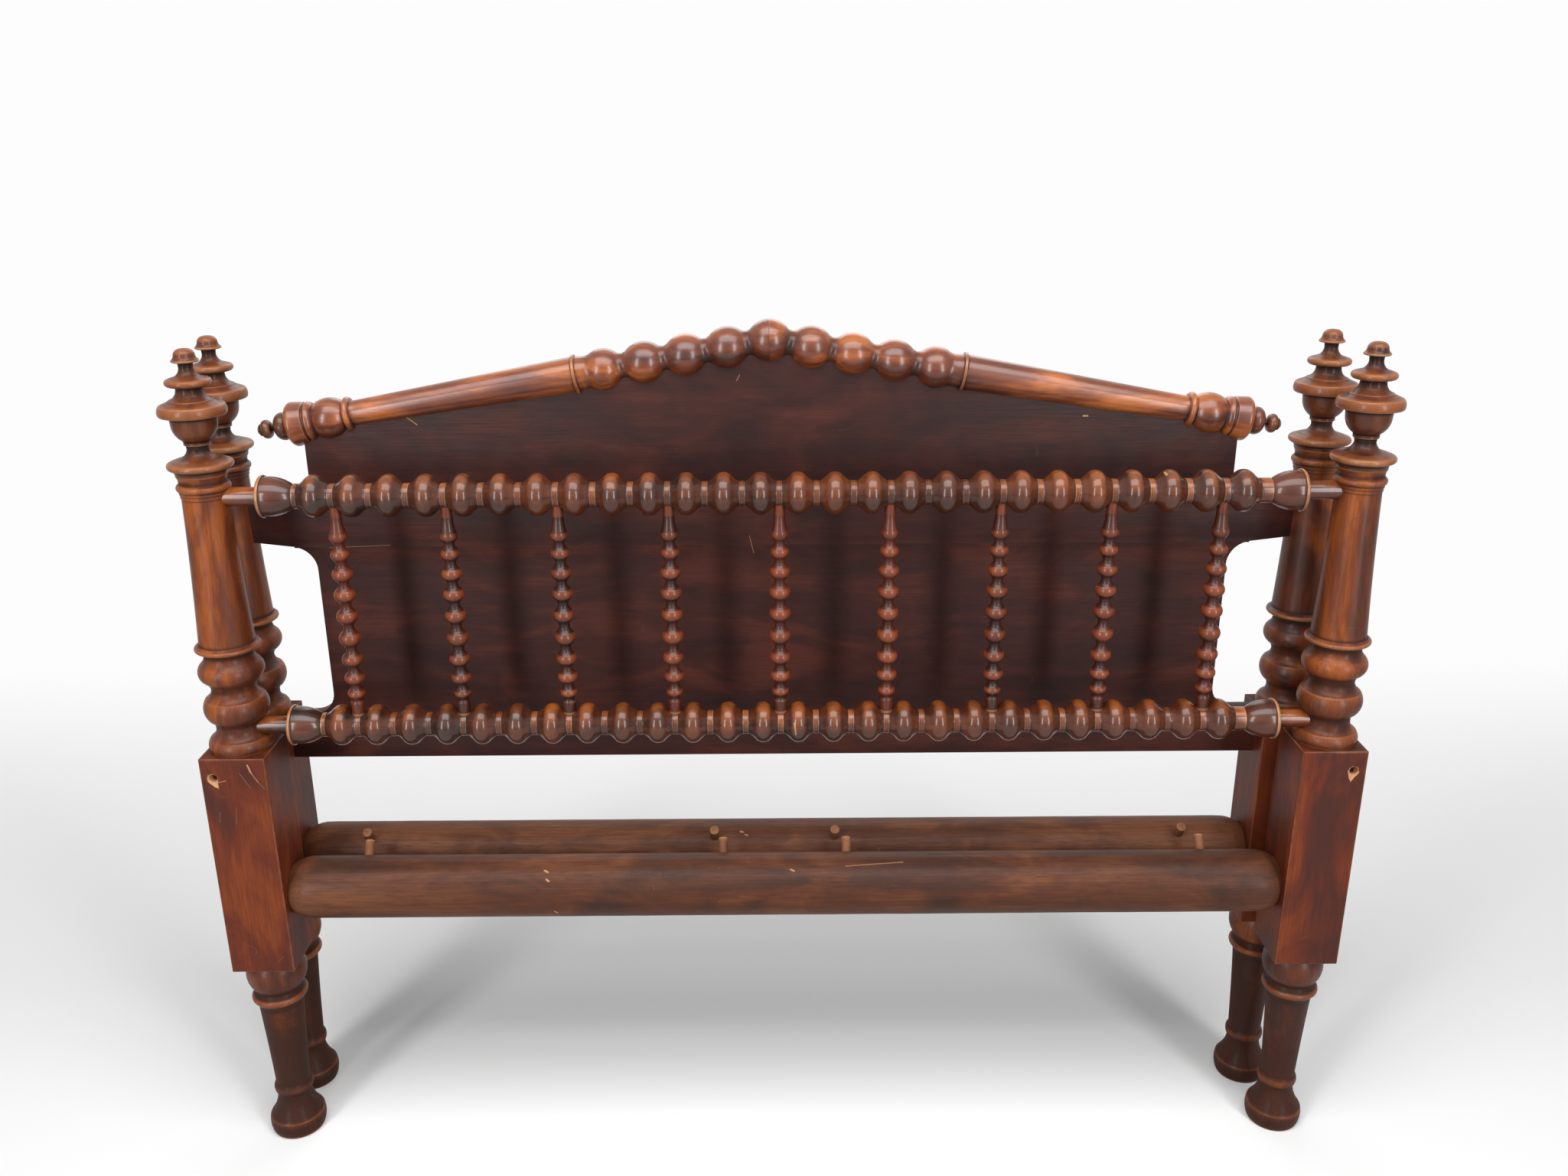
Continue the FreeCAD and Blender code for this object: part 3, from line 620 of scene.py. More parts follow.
class Workshop:
    """Makes meshes, joins them and hands the finished pieces to the frame."""

    def __init__(self) -> None:
        """Builds the trees that the pieces share."""
        self.trees = TreeLibrary()
        self.seed = 11

    def next_seed(self) -> int:
        """A new seed, so that no two pieces wander or turn alike."""
        self.seed += SEED_STEP
        return self.seed

    @staticmethod
    def link(name: str, mesh: bpy.types.Mesh) -> bpy.types.Object:
        """A new object of the scene with this mesh.

        Args:
            name: the object's name.
            mesh: its mesh.

        Returns:
            The object.
        """
        thing = bpy.data.objects.new(name, mesh)
        bpy.context.scene.collection.objects.link(thing)
        return thing

    @staticmethod
    def drop(*things: bpy.types.Object) -> None:
        """Removes objects that were only needed on the way."""
        for thing in things:
            bpy.data.objects.remove(thing)

    def grown(self, thing: bpy.types.Object, tree: bpy.types.NodeTree,
              values: dict[str, object]) -> bpy.types.Object:
        """Runs a tree on an object and keeps the result as its plain mesh.

        Args:
            thing: the object that carries the tree.
            tree: the Geometry Nodes tree.
            values: the tree's inputs by name.

        Returns:
            The same object with its finished mesh.
        """
        modifier = thing.modifiers.new("grown", "NODES")
        modifier.node_group = tree
        sockets = {item.name: item.identifier for item in tree.interface.items_tree
                   if item.in_out == "INPUT"}
        for name, value in values.items():
            modifier[sockets[name]] = value
        return self.settled(thing)

    @staticmethod
    def settled(thing: bpy.types.Object) -> bpy.types.Object:
        """Applies an object's modifiers to its mesh.

        Args:
            thing: the object.

        Returns:
            The same object.
        """
        bpy.context.view_layer.update()
        depsgraph = bpy.context.evaluated_depsgraph_get()
        mesh = bpy.data.meshes.new_from_object(
            thing.evaluated_get(depsgraph), preserve_all_data_layers=True, depsgraph=depsgraph)
        thing.modifiers.clear()
        thing.data = mesh
        mesh.name = thing.name
        return thing

    def turned(self, name: str, outline: Outline, finish: bpy.types.Material, lay: Lay = Lay.UPRIGHT,
               at: Place = (0, 0, 0), sides: int = 64, unevenness: float = 0.25,
               place: Matrix | None = None) -> bpy.types.Object:
        """Turns an outline on the lathe and puts it in place.

        Args:
            name: the new object's name.
            outline: its outside.
            finish: its material.
            lay: upright or across.
            at: where the outline's own origin goes, in millimetres.
            sides: how many sides a ring has.
            unevenness: how far the hand-turned radius wanders, in millimetres.
            place: a further placement, used before at.

        Returns:
            The turned object.
        """
        points = [(radius * MM, 0, station * MM) for station, radius in outline.points]
        mesh = bpy.data.meshes.new(name)
        mesh.from_pydata(points, [(i, i + 1) for i in range(len(points) - 1)], [])
        for label, values in (("relief", outline.relief), ("edge", outline.edge)):
            self.store(mesh, label, values)
        thing = self.link(name, mesh)
        self.grown(thing, self.trees.lathe, {
            "Sides": sides, "Unevenness": unevenness * MM, "Seed": self.next_seed(),
            "Finish": finish})
        moved = Matrix.Translation(Vector(at) * MM) @ (place or Matrix.Identity(4)) @ lay.matrix
        thing.data.transform(moved)
        return thing

    def copied(self, name: str, piece: bpy.types.Object, places: list[Place], finish: bpy.types.Material,
               spin: float = 0.0, weld: float = 0.0,
               ends: bpy.types.Object | None = None) -> bpy.types.Object:
        """Sets copies of a piece on places, and welds end pieces on.

        Args:
            name: the new object's name.
            piece: what is copied; it is removed.
            places: where the copies go, in millimetres.
            finish: the material.
            spin: the widest chance turn about Z, in radians.
            weld: how near points are to be joined, in millimetres.
            ends: what is joined at the ends; it is removed.

        Returns:
            The row of copies.
        """
        mesh = bpy.data.meshes.new(name)
        mesh.from_pydata([tuple(Vector(p) * MM) for p in places], [], [])
        row = self.link(name, mesh)
        values: dict[str, object] = {
            "Piece": piece, "Spin": spin, "Seed": self.next_seed(), "Weld": weld * MM, "Finish": finish}
        if ends is not None:
            values["Ends"] = ends
        self.grown(row, self.trees.copies, values)
        if not spin:
            row.data.attributes.remove(row.data.attributes["piece"])
        self.drop(piece, *([ends] if ends is not None else []))
        return row

    def joined(self, name: str, parts: list[bpy.types.Object]) -> bpy.types.Object:
        """Joins objects into one.

        Args:
            name: the joined object's name.
            parts: the objects, of which the first is kept.

        Returns:
            The joined object.
        """
        first = parts[0]
        with bpy.context.temp_override(active_object=first, object=first, selected_objects=parts,
                                       selected_editable_objects=parts):
            bpy.ops.object.join()
        first.name = name
        first.data.name = name
        return first

    @staticmethod
    def smoothed(thing: bpy.types.Object) -> None:
        """Shades a piece smooth, with a hard line where it turns sharply."""
        thing.data.shade_smooth()
        thing.data.set_sharp_from_angle(angle=math.radians(SHARP_ANGLE))

    @staticmethod
    def store(mesh: bpy.types.Mesh, name: str, values: np.ndarray) -> None:
        """Writes a value for each of a mesh's points.

        Args:
            mesh: the mesh.
            name: the attribute's name.
            values: one value for each point.
        """
        layer = mesh.attributes.get(name) or mesh.attributes.new(name, "FLOAT", "POINT")
        layer.data.foreach_set("value", values.astype(np.float32))

    def finished(self, thing: bpy.types.Object, body: str, nodes: list[str],
                 tone: float = 0.5) -> None:
        """Hands a finished piece to the frame.

        Args:
            thing: the piece.
            body: the body that it rides on.
            nodes: the nodes that it stands for.
            tone: how light this piece of wood is, from 0 to 1.
        """
        count = len(thing.data.vertices)
        if "piece" not in thing.data.attributes:
            self.store(thing.data, "piece", np.full(count, tone))
        # How far each point faces up; the finish paints faces that look up lighter and faces that look down
        # darker from it, a painted light and shade.
        normals = np.empty(count * 3, np.float32)
        thing.data.vertices.foreach_get("normal", normals)
        self.store(thing.data, "upward", normals[2::3])
        self.smoothed(thing)
        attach(thing, body)
        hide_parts(*nodes)
        triangles = sum(len(face.vertices) - 2 for face in thing.data.polygons)
        LOG.info("%s: %d triangles, stands for %d nodes", thing.name, triangles, len(nodes))


# ------------------------------------------------------------------------------ finishes


@dataclass(frozen=True)
class GrainLayer:
    """One noise of the wood's figure, stretched along the grain, and where it rises."""

    stretch: Place
    detail: float
    roughness: float
    distortion: float
    low: float
    high: float


FIGURE = {
    "Streak": GrainLayer((3.0, 46.0, 46.0), 4.0, 0.6, 0.5, 0.3, 0.7),
    "Fibre": GrainLayer((16.0, 480.0, 480.0), 3.0, 0.65, 0.0, 0.28, 0.72),
    "Blotch": GrainLayer((7.0, 15.0, 15.0), 3.0, 0.6, 0.8, 0.3, 0.7),
    "Pores": GrainLayer((60.0, 1300.0, 1300.0), 1.0, 0.5, 0.0, 0.62, 0.74),
}
SEED_SPREAD = {"X": 13.7, "Y": 5.3, "Z": 8.9}


class ShadeLibrary:
    """Shader groups shared by the finishes, each built once."""

    def __init__(self) -> None:
        """Builds the groups."""
        self.figure = self.build_figure()
        self.wear = self.build_wear()
        self.scratches = self.build_scratches()
        self.mark = self.build_mark()

    @staticmethod
    def new_group(name: str, inputs: list[tuple[str, str]], outputs: list[str]) -> Tree:
        """Starts a shader group.

        Args:
            name: the group's name.
            inputs: names and socket types going in.
            outputs: names of the values coming out.

        Returns:
            The helper round the new group.
        """
        group = bpy.data.node_groups.new(name, "ShaderNodeTree")
        for label, kind in inputs:
            group.interface.new_socket(label, in_out="INPUT", socket_type=kind)
        for label in outputs:
            group.interface.new_socket(label, in_out="OUTPUT", socket_type="NodeSocketFloat")
        return Tree(group)

    @staticmethod
    def ended(t: Tree, results: dict[str, bpy.types.NodeSocket]) -> bpy.types.NodeTree:
        """Links a group's results, by name, to its outputs and gives the group."""
        t.fed("NodeGroupOutput", results)
        return t.tree

    def build_figure(self) -> bpy.types.NodeTree:
        """The wood's figure, with the grain running along X.

        Returns:
            The group.
        """
        t = self.new_group("wood_figure", [("Vector", "NodeSocketVector"), ("Seed", "NodeSocketFloat")],
                           list(FIGURE))
        into = t.add("NodeGroupInput").outputs
        spread = t.fed("ShaderNodeCombineXYZ", {
            axis: t.maths("MULTIPLY", into["Seed"], factor) for axis, factor in SEED_SPREAD.items()})
        own = t.vector("ADD", into["Vector"], spread.outputs[0])
        results = {}
        for name, layer in FIGURE.items():
            noise = t.noise(t.vector("MULTIPLY", own, layer.stretch), layer.detail, layer.roughness,
                            layer.distortion)
            results[name] = t.ramp(noise, layer.low, layer.high)
        return self.ended(t, results)

    def build_wear(self) -> bpy.types.NodeTree:
        """What is rubbed bright, what holds dirt and which edges are worn pale, with painted light and
        shade: faces that look up are made lighter, faces that look down and near the floor darker.

        Returns:
            The group.
        """
        coarse_scale, patchy_scale = (58.0, 58.0, 58.0), (8.0, 8.0, 8.0)
        rub_chance, dirt_chance, edge_chance = 0.9, 0.75, 0.8
        top_light_share, crevice_share = 0.32, 0.75
        floor_shade_low, floor_shade_high = 0.02, 0.42
        t = self.new_group("handled_wood", [
            ("Relief", "NodeSocketFloat"), ("Edge", "NodeSocketFloat"), ("Upward", "NodeSocketFloat"),
            ("Vector", "NodeSocketVector"), ("Rub", "NodeSocketFloat"), ("Dirt", "NodeSocketFloat"),
            ("Grime", "NodeSocketFloat"), ("Shy", "NodeSocketFloat"),
        ], ["Rubbed", "Dirty", "Pale"])
        into = t.add("NodeGroupInput").outputs
        coarse = t.noise(t.vector("MULTIPLY", into["Vector"], coarse_scale), 5.0, 0.68)
        patchy = t.noise(t.vector("MULTIPLY", into["Vector"], patchy_scale), 2.0)
        chance = t.maths("SUBTRACT", t.maths("ADD", coarse, patchy), 1.0)
        # Faces that look up are rubbed lighter and faces that look down are darkened: a painted light from
        # above and a painted shade below.
        top_light = t.maths("MULTIPLY", into["Upward"], top_light_share)
        high = t.maths("ADD", into["Relief"], t.maths("ADD", t.maths("MULTIPLY", chance, rub_chance), top_light))
        high = t.maths("SUBTRACT", high, into["Shy"])
        rubbed = t.maths("MULTIPLY", t.ramp(high, 0.1, 0.95), into["Rub"], clamp=True)
        # This darkens the wood towards the floor, up to about 0.4 m: a painted shade.
        height = t.fed("ShaderNodeSeparateXYZ", {0: into["Vector"]}).outputs["Z"]
        ground = t.maths("SUBTRACT", 1.0, t.ramp(height, floor_shade_low, floor_shade_high))
        low = t.maths("SUBTRACT", t.maths("MULTIPLY", chance, dirt_chance),
                      t.maths("ADD", into["Relief"], top_light))
        low = t.maths("ADD", low, t.maths("MULTIPLY", ground, into["Grime"]))
        hollow = t.ramp(t.maths("MULTIPLY", into["Edge"], -1.0), 0.2, 1.0)
        crevice = t.maths("MULTIPLY", hollow, crevice_share)
        dirty = t.maths("MAXIMUM", t.ramp(low, 0.1, 1.0), crevice)
        dirty = t.maths("MULTIPLY", dirty, into["Dirt"], clamp=True)
        sharp = t.maths("ADD", into["Edge"], t.maths("MULTIPLY", chance, edge_chance))
        pale = t.maths("MULTIPLY", t.ramp(sharp, 0.4, 0.95), into["Rub"], clamp=True)
        return self.ended(t, {"Rubbed": rubbed, "Dirty": dirty, "Pale": pale})

    def build_scratches(self) -> bpy.types.NodeTree:
        """Sparse hairline scratches and small pale nicks.

        Returns:
            The group.
        """
        line_scale, gate_scale, nick_scale = (11.0, 23.0, 17.0), (31.0, 27.0, 35.0), (40.0, 40.0, 55.0)
        line_width = 0.004
        t = self.new_group("hairlines", [("Vector", "NodeSocketVector"), ("Amount", "NodeSocketFloat")],
                           ["Scratch", "Nick"])
        into = t.add("NodeGroupInput").outputs
        lines = t.noise(t.vector("MULTIPLY", into["Vector"], line_scale), 1.0, 0.4)
        off = t.maths("ABSOLUTE", t.maths("SUBTRACT", lines, 0.5))
        thin = t.maths("SUBTRACT", 1.0, t.ramp(off, 0.0, line_width))
        gate = t.ramp(t.noise(t.vector("MULTIPLY", into["Vector"], gate_scale), 2.0), 0.6, 0.68)
        scratch = t.maths("MULTIPLY", t.maths("MULTIPLY", thin, gate), into["Amount"], clamp=True)
        cells = t.fed("ShaderNodeTexVoronoi", {
            "Vector": t.vector("MULTIPLY", into["Vector"], nick_scale), "Scale": 1.0}).outputs
        small = t.maths("SUBTRACT", 1.0, t.ramp(cells["Distance"], 0.03, 0.07))
        drawn = t.fed("ShaderNodeSeparateColor", {0: cells["Color"]}).outputs[0]
        rare = t.ramp(drawn, 0.93, 0.95)
        nick = t.maths("MULTIPLY", t.maths("MULTIPLY", small, rare), into["Amount"], clamp=True)
        return self.ended(t, {"Scratch": scratch, "Nick": nick})

    def build_mark(self) -> bpy.types.NodeTree:
        """One scratch or dent from a start to an end.

        Returns:
            The group.
        """
        t = self.new_group("mark", [
            ("Vector", "NodeSocketVector"), ("Start", "NodeSocketVector"),
            ("End", "NodeSocketVector"), ("Width", "NodeSocketFloat"),
        ], ["Mask"])
        into = t.add("NodeGroupInput").outputs
        reach = t.vector("SUBTRACT", into["End"], into["Start"])
        apart = t.vector("SUBTRACT", into["Vector"], into["Start"])
        length = t.maths("MAXIMUM", t.vector("DOT_PRODUCT", reach, reach), 1e-9)
        along = t.maths("DIVIDE", t.vector("DOT_PRODUCT", apart, reach), length, clamp=True)
        off = t.vector("LENGTH", t.vector("SUBTRACT", apart, t.vector("SCALE", reach, scale=along)))
        ragged = t.noise(t.vector("MULTIPLY", into["Vector"], (900.0, 900.0, 900.0)), 2.0)
        edge = t.maths("DIVIDE", off, t.maths("MULTIPLY", into["Width"], t.maths("ADD", ragged, 0.5)))
        return self.ended(t, {"Mask": t.maths("SUBTRACT", 1.0, t.ramp(edge, 0.6, 1.2))})


@dataclass(frozen=True)
class Mark:
    """A single scratch or dent that a piece carries, in millimetres."""

    start: Place
    end: Place
    width: float
    strength: float = 0.8


BLACKENED = srgb(20, 11, 9)
TORN = srgb(214, 170, 128)
WORN = srgb(190, 140, 98)
BUMP_DEPTH = 0.6


@dataclass(frozen=True)
class WoodFinish:
    """One stained and varnished finish, old and handled.

    The five amounts after the colours, in order, say how far it is rubbed, with faces that look up painted
    lighter, a painted light;
    how far it is dirty all over, with faces that look down painted darker, a painted shade; how far a
    painted shade darkens it near the floor;
    how much prouder than usual it must stand to be rubbed; and how pale its edges are.
    """

    name: str
    lay: Lay
    dark: Colour
    main: Colour
    light: Colour
    rubbed: Colour
    dirty: Colour
    rub: float = 0.7
    dirt: float = 0.8
    grime: float = 0.0
    shy: float = 0.0
    worn: float = 0.7
    fibre: float = 0.28
    streak: float = 0.5
    roughness: float = 0.45
    coat: float = 0.3
    coat_roughness: float = 0.2
    bump: float = 0.25
    scratches: float = 0.35
    specular: float = 0.22
    pale: Colour = WORN
    marks: tuple[Mark, ...] = ()

    def material(self, shades: ShadeLibrary) -> bpy.types.Material:
        """Builds the finish's material.

        Args:
            shades: the shared shader groups.

        Returns:
            The material.
        """
        made = bpy.data.materials.new(self.name)
        made.use_nodes = True
        made.node_tree.nodes.clear()
        t = Tree(made.node_tree)
        shader = t.add("ShaderNodeBsdfPrincipled")
        t.fed("ShaderNodeOutputMaterial", {"Surface": shader.outputs[0]})
        here = t.add("ShaderNodeTexCoord").outputs["Object"]
        mapping = t.fed("ShaderNodeMapping", {"Vector": here, "Rotation": self.lay.grain_turn})
        own, relief, edge, upward = (t.add("ShaderNodeAttribute", attribute_name=name).outputs["Fac"]
                                     for name in ("piece", "relief", "edge", "upward"))
        figure = self.placed(t, shades.figure, {"Vector": mapping.outputs[0], "Seed": own})
        wear = self.placed(t, shades.wear, {
            "Relief": relief, "Edge": edge, "Upward": upward, "Vector": here,
            "Rub": self.rub, "Dirt": self.dirt, "Grime": self.grime, "Shy": self.shy})
        spots = self.spots(t, shades, here)

        colour = self.stained(t, own, figure)
        # The rubbed colour, also laid on faces that look up as a painted light.
        colour = self.mixed(t, colour, self.rubbed, wear["Rubbed"])
        colour = self.mixed(t, colour, self.dark, t.maths("MULTIPLY", figure["Fibre"], self.fibre))
        colour = self.mixed(t, colour, self.dark, t.maths("MULTIPLY", figure["Pores"], self.fibre * 1.8))
        # The dirt colour, also laid on faces that look down and near the floor as a painted shade.
        colour = self.mixed(t, colour, self.dirty, wear["Dirty"])
        colour = self.mixed(t, colour, self.pale, t.maths("MULTIPLY", wear["Pale"], self.worn))
        t.feed(shader.inputs["Base Color"], self.mixed(t, colour, self.pale, spots))

        t.feed(shader.inputs["Roughness"], t.total(self.roughness, (
            (figure["Fibre"], 0.1), (wear["Dirty"], 0.28), (figure["Blotch"], 0.06), (spots, 0.3),
        ), clamp=True))
        clean, whole = t.total(1.0, ((wear["Dirty"], -0.8),)), t.total(1.0, ((spots, -0.9),))
        coat = t.maths("MULTIPLY", t.maths("MULTIPLY", clean, whole), self.coat)
        t.feed(shader.inputs["Coat Weight"], coat)
        shader.inputs["Coat Roughness"].default_value = self.coat_roughness
        shader.inputs["Specular IOR Level"].default_value = self.specular

        height = t.total(1.0, (
            (figure["Fibre"], -0.35), (figure["Pores"], -0.5), (spots, -0.9), (figure["Blotch"], 0.5)))
        bump = t.fed("ShaderNodeBump", {
            "Strength": self.bump, "Distance": BUMP_DEPTH * MM, "Height": height})
        t.feed(shader.inputs["Normal"], bump.outputs[0])
        return made

    def stained(self, t: Tree, own: bpy.types.NodeSocket,
                figure: dict[str, bpy.types.NodeSocket]) -> bpy.types.NodeSocket:
        """The stained wood's colour, before wear.

        Args:
            t: the material's tree.
            own: how light the piece of wood is.
            figure: the outputs of the figure group.

        Returns:
            The colour's socket.
        """
        tone = t.maths("ADD", t.maths("MULTIPLY", figure["Streak"], self.streak),
                       t.maths("MULTIPLY", figure["Blotch"], 1 - self.streak))
        tone = t.maths("ADD", tone, t.maths("MULTIPLY", t.maths("SUBTRACT", own, 0.5), 0.5), clamp=True)
        colour = self.mixed(t, self.dark, self.main, t.ramp(tone, 0.0, 0.55))
        return self.mixed(t, colour, self.light, t.maths("MULTIPLY", t.ramp(tone, 0.45, 1.0), 0.75))

    def spots(self, t: Tree, shades: ShadeLibrary, here: bpy.types.NodeSocket) -> bpy.types.NodeSocket:
        """Where bare wood shows in hairlines, nicks and the finish's own marks.

        Args:
            t: the material's tree.
            shades: the shared shader groups.
            here: the place on the object.

        Returns:
            The mask's socket.
        """
        lines = self.placed(t, shades.scratches, {"Vector": here, "Amount": self.scratches})
        spots = t.maths("MAXIMUM", lines["Scratch"], lines["Nick"])
        for mark in self.marks:
            spot = self.placed(t, shades.mark, {
                "Vector": here, "Start": tuple(Vector(mark.start) * MM),
                "End": tuple(Vector(mark.end) * MM), "Width": mark.width * MM})
            spots = t.maths("MAXIMUM", spots, t.maths("MULTIPLY", spot["Mask"], mark.strength))
        return spots

    @staticmethod
    def placed(t: Tree, group: bpy.types.NodeTree,
               values: dict[str, object]) -> dict[str, bpy.types.NodeSocket]:
        """Places a shared group and feeds its inputs.

        Args:
            t: the material's tree.
            group: the shared group.
            values: its inputs by name.

        Returns:
            Its outputs by name.
        """
        node = t.fed("ShaderNodeGroup", values, node_tree=group)
        return {out.name: out for out in node.outputs}

    @staticmethod
    def mixed(t: Tree, first: object, second: object, share: object) -> bpy.types.NodeSocket:
        """Mixes two colours by a share of the second.

        Args:
            t: the material's tree.
            first: the first colour, or its socket.
            second: the second colour, or its socket.
            share: how much of the second is taken.

        Returns:
            The mixed colour's socket.
        """
        node = t.add("ShaderNodeMix", data_type="RGBA")
        colour_sockets = [s for s in node.inputs if s.type == "RGBA"]
        for socket, value in zip(colour_sockets, (first, second)):
            t.feed(socket, (*value, 1.0) if isinstance(value, tuple) else value)
        t.feed(node.inputs[0], share)
        return next(s for s in node.outputs if s.type == "RGBA")


def on_block(right: float, down: float) -> Place:
    """A place on the left foot block's front, right of its axis and down from its top.

    Args:
        right: how far right of the axis.
        down: how far down from the top.

    Returns:
        The place, in millimetres.
    """
    x, y, _ = post_axis(FOOT, Side.LEFT)
    return x + right, y - HALF_BLOCK, BLOCK_TOP - down


def on_panel(x: float, up: float) -> Place:
    """A place on the panel's front, up from its glue line."""
    return x, end_centre(HEAD)[1] - PANEL_THICKNESS / 2, GLUE_LINE + up


@dataclass(frozen=True)
class RoundRail:
    """A round rail's surface, on which the marks of the rails are set out."""

    body: str
    height: float
    radius: float

    def at(self, x: float, turn: float) -> Place:
        """The place at an x, turned in degrees from the rail's top towards the foot of the bed.

        Args:
            x: where along the rail.
            turn: the turn in degrees.

        Returns:
            The place, in millimetres.
        """
        angle = math.radians(turn)
        y = end_centre(self.body)[1] - self.radius * math.sin(angle)
        return x, y, self.height + self.radius * math.cos(angle)


FOOT_CROSS, HEAD_CROSS = (RoundRail(body, CROSS_HEIGHT[body], CROSS_RADIUS) for body in (FOOT, HEAD))
TOP_BEADS = RoundRail(FOOT, TOP_RAIL, 23.0)
LOWER_BEADS = RoundRail(FOOT, LOWER_RAIL, 24.4)

BLOCK_MARKS = (
    Mark(on_block(19, 8), on_block(22, 18), 1.0, 0.9),
    Mark(on_block(22, 18), on_block(29, 31), 0.6, 0.65),
    Mark(on_block(29, 31), on_block(36, 40), 0.4, 0.4),
    Mark(on_block(8, 19), on_block(19, 39), 0.4, 0.3),
    Mark(on_block(-19, 31), on_block(-10, 29), 0.6, 0.5),
    Mark(on_block(-2, 66), on_block(-5, 89), 0.4, 0.2),
    Mark(on_block(-23, 72), on_block(-25, 86), 0.4, 0.2),
)
CROSS_MARKS = (
    Mark(FOOT_CROSS.at(-298, 32), FOOT_CROSS.at(-294, 35), 1.3, 0.85),
    Mark(FOOT_CROSS.at(-295, 49), FOOT_CROSS.at(-292, 52), 1.3, 0.85),
    Mark(FOOT_CROSS.at(-286, 115), FOOT_CROSS.at(-283, 120), 1.3, 0.8),
    Mark(FOOT_CROSS.at(14, 33), FOOT_CROSS.at(18, 36), 1.2, 0.8),
    Mark(FOOT_CROSS.at(84, 27), FOOT_CROSS.at(157, 19), 0.8, 0.4),
    Mark(HEAD_CROSS.at(-52, 27), HEAD_CROSS.at(-49, 28), 1.3, 0.8),
    Mark(HEAD_CROSS.at(-46, 34), HEAD_CROSS.at(-43, 35), 1.2, 0.7),
)
PANEL_MARKS = (
    Mark(on_panel(-559, -1), on_panel(-483, 2), 0.4, 0.3),
    Mark(on_panel(-35, 11), on_panel(-30, -11), 0.4, 0.4),
    Mark(on_panel(-48, 205), on_panel(-44, 212), 0.5, 0.4),
    Mark(on_panel(-448, 164), on_panel(-435, 154), 0.7, 0.5),
    Mark(on_panel(371, 160), on_panel(376, 160), 1.0, 0.7),
)
RAIL_MARKS = (
    Mark(TOP_BEADS.at(449, 4), TOP_BEADS.at(450, 22), 1.6, 0.8),
    Mark(LOWER_BEADS.at(19, 70), LOWER_BEADS.at(20, 87), 1.2, 0.7),
    Mark(LOWER_BEADS.at(20, 87), LOWER_BEADS.at(21, 105), 1.2, 0.7),
)

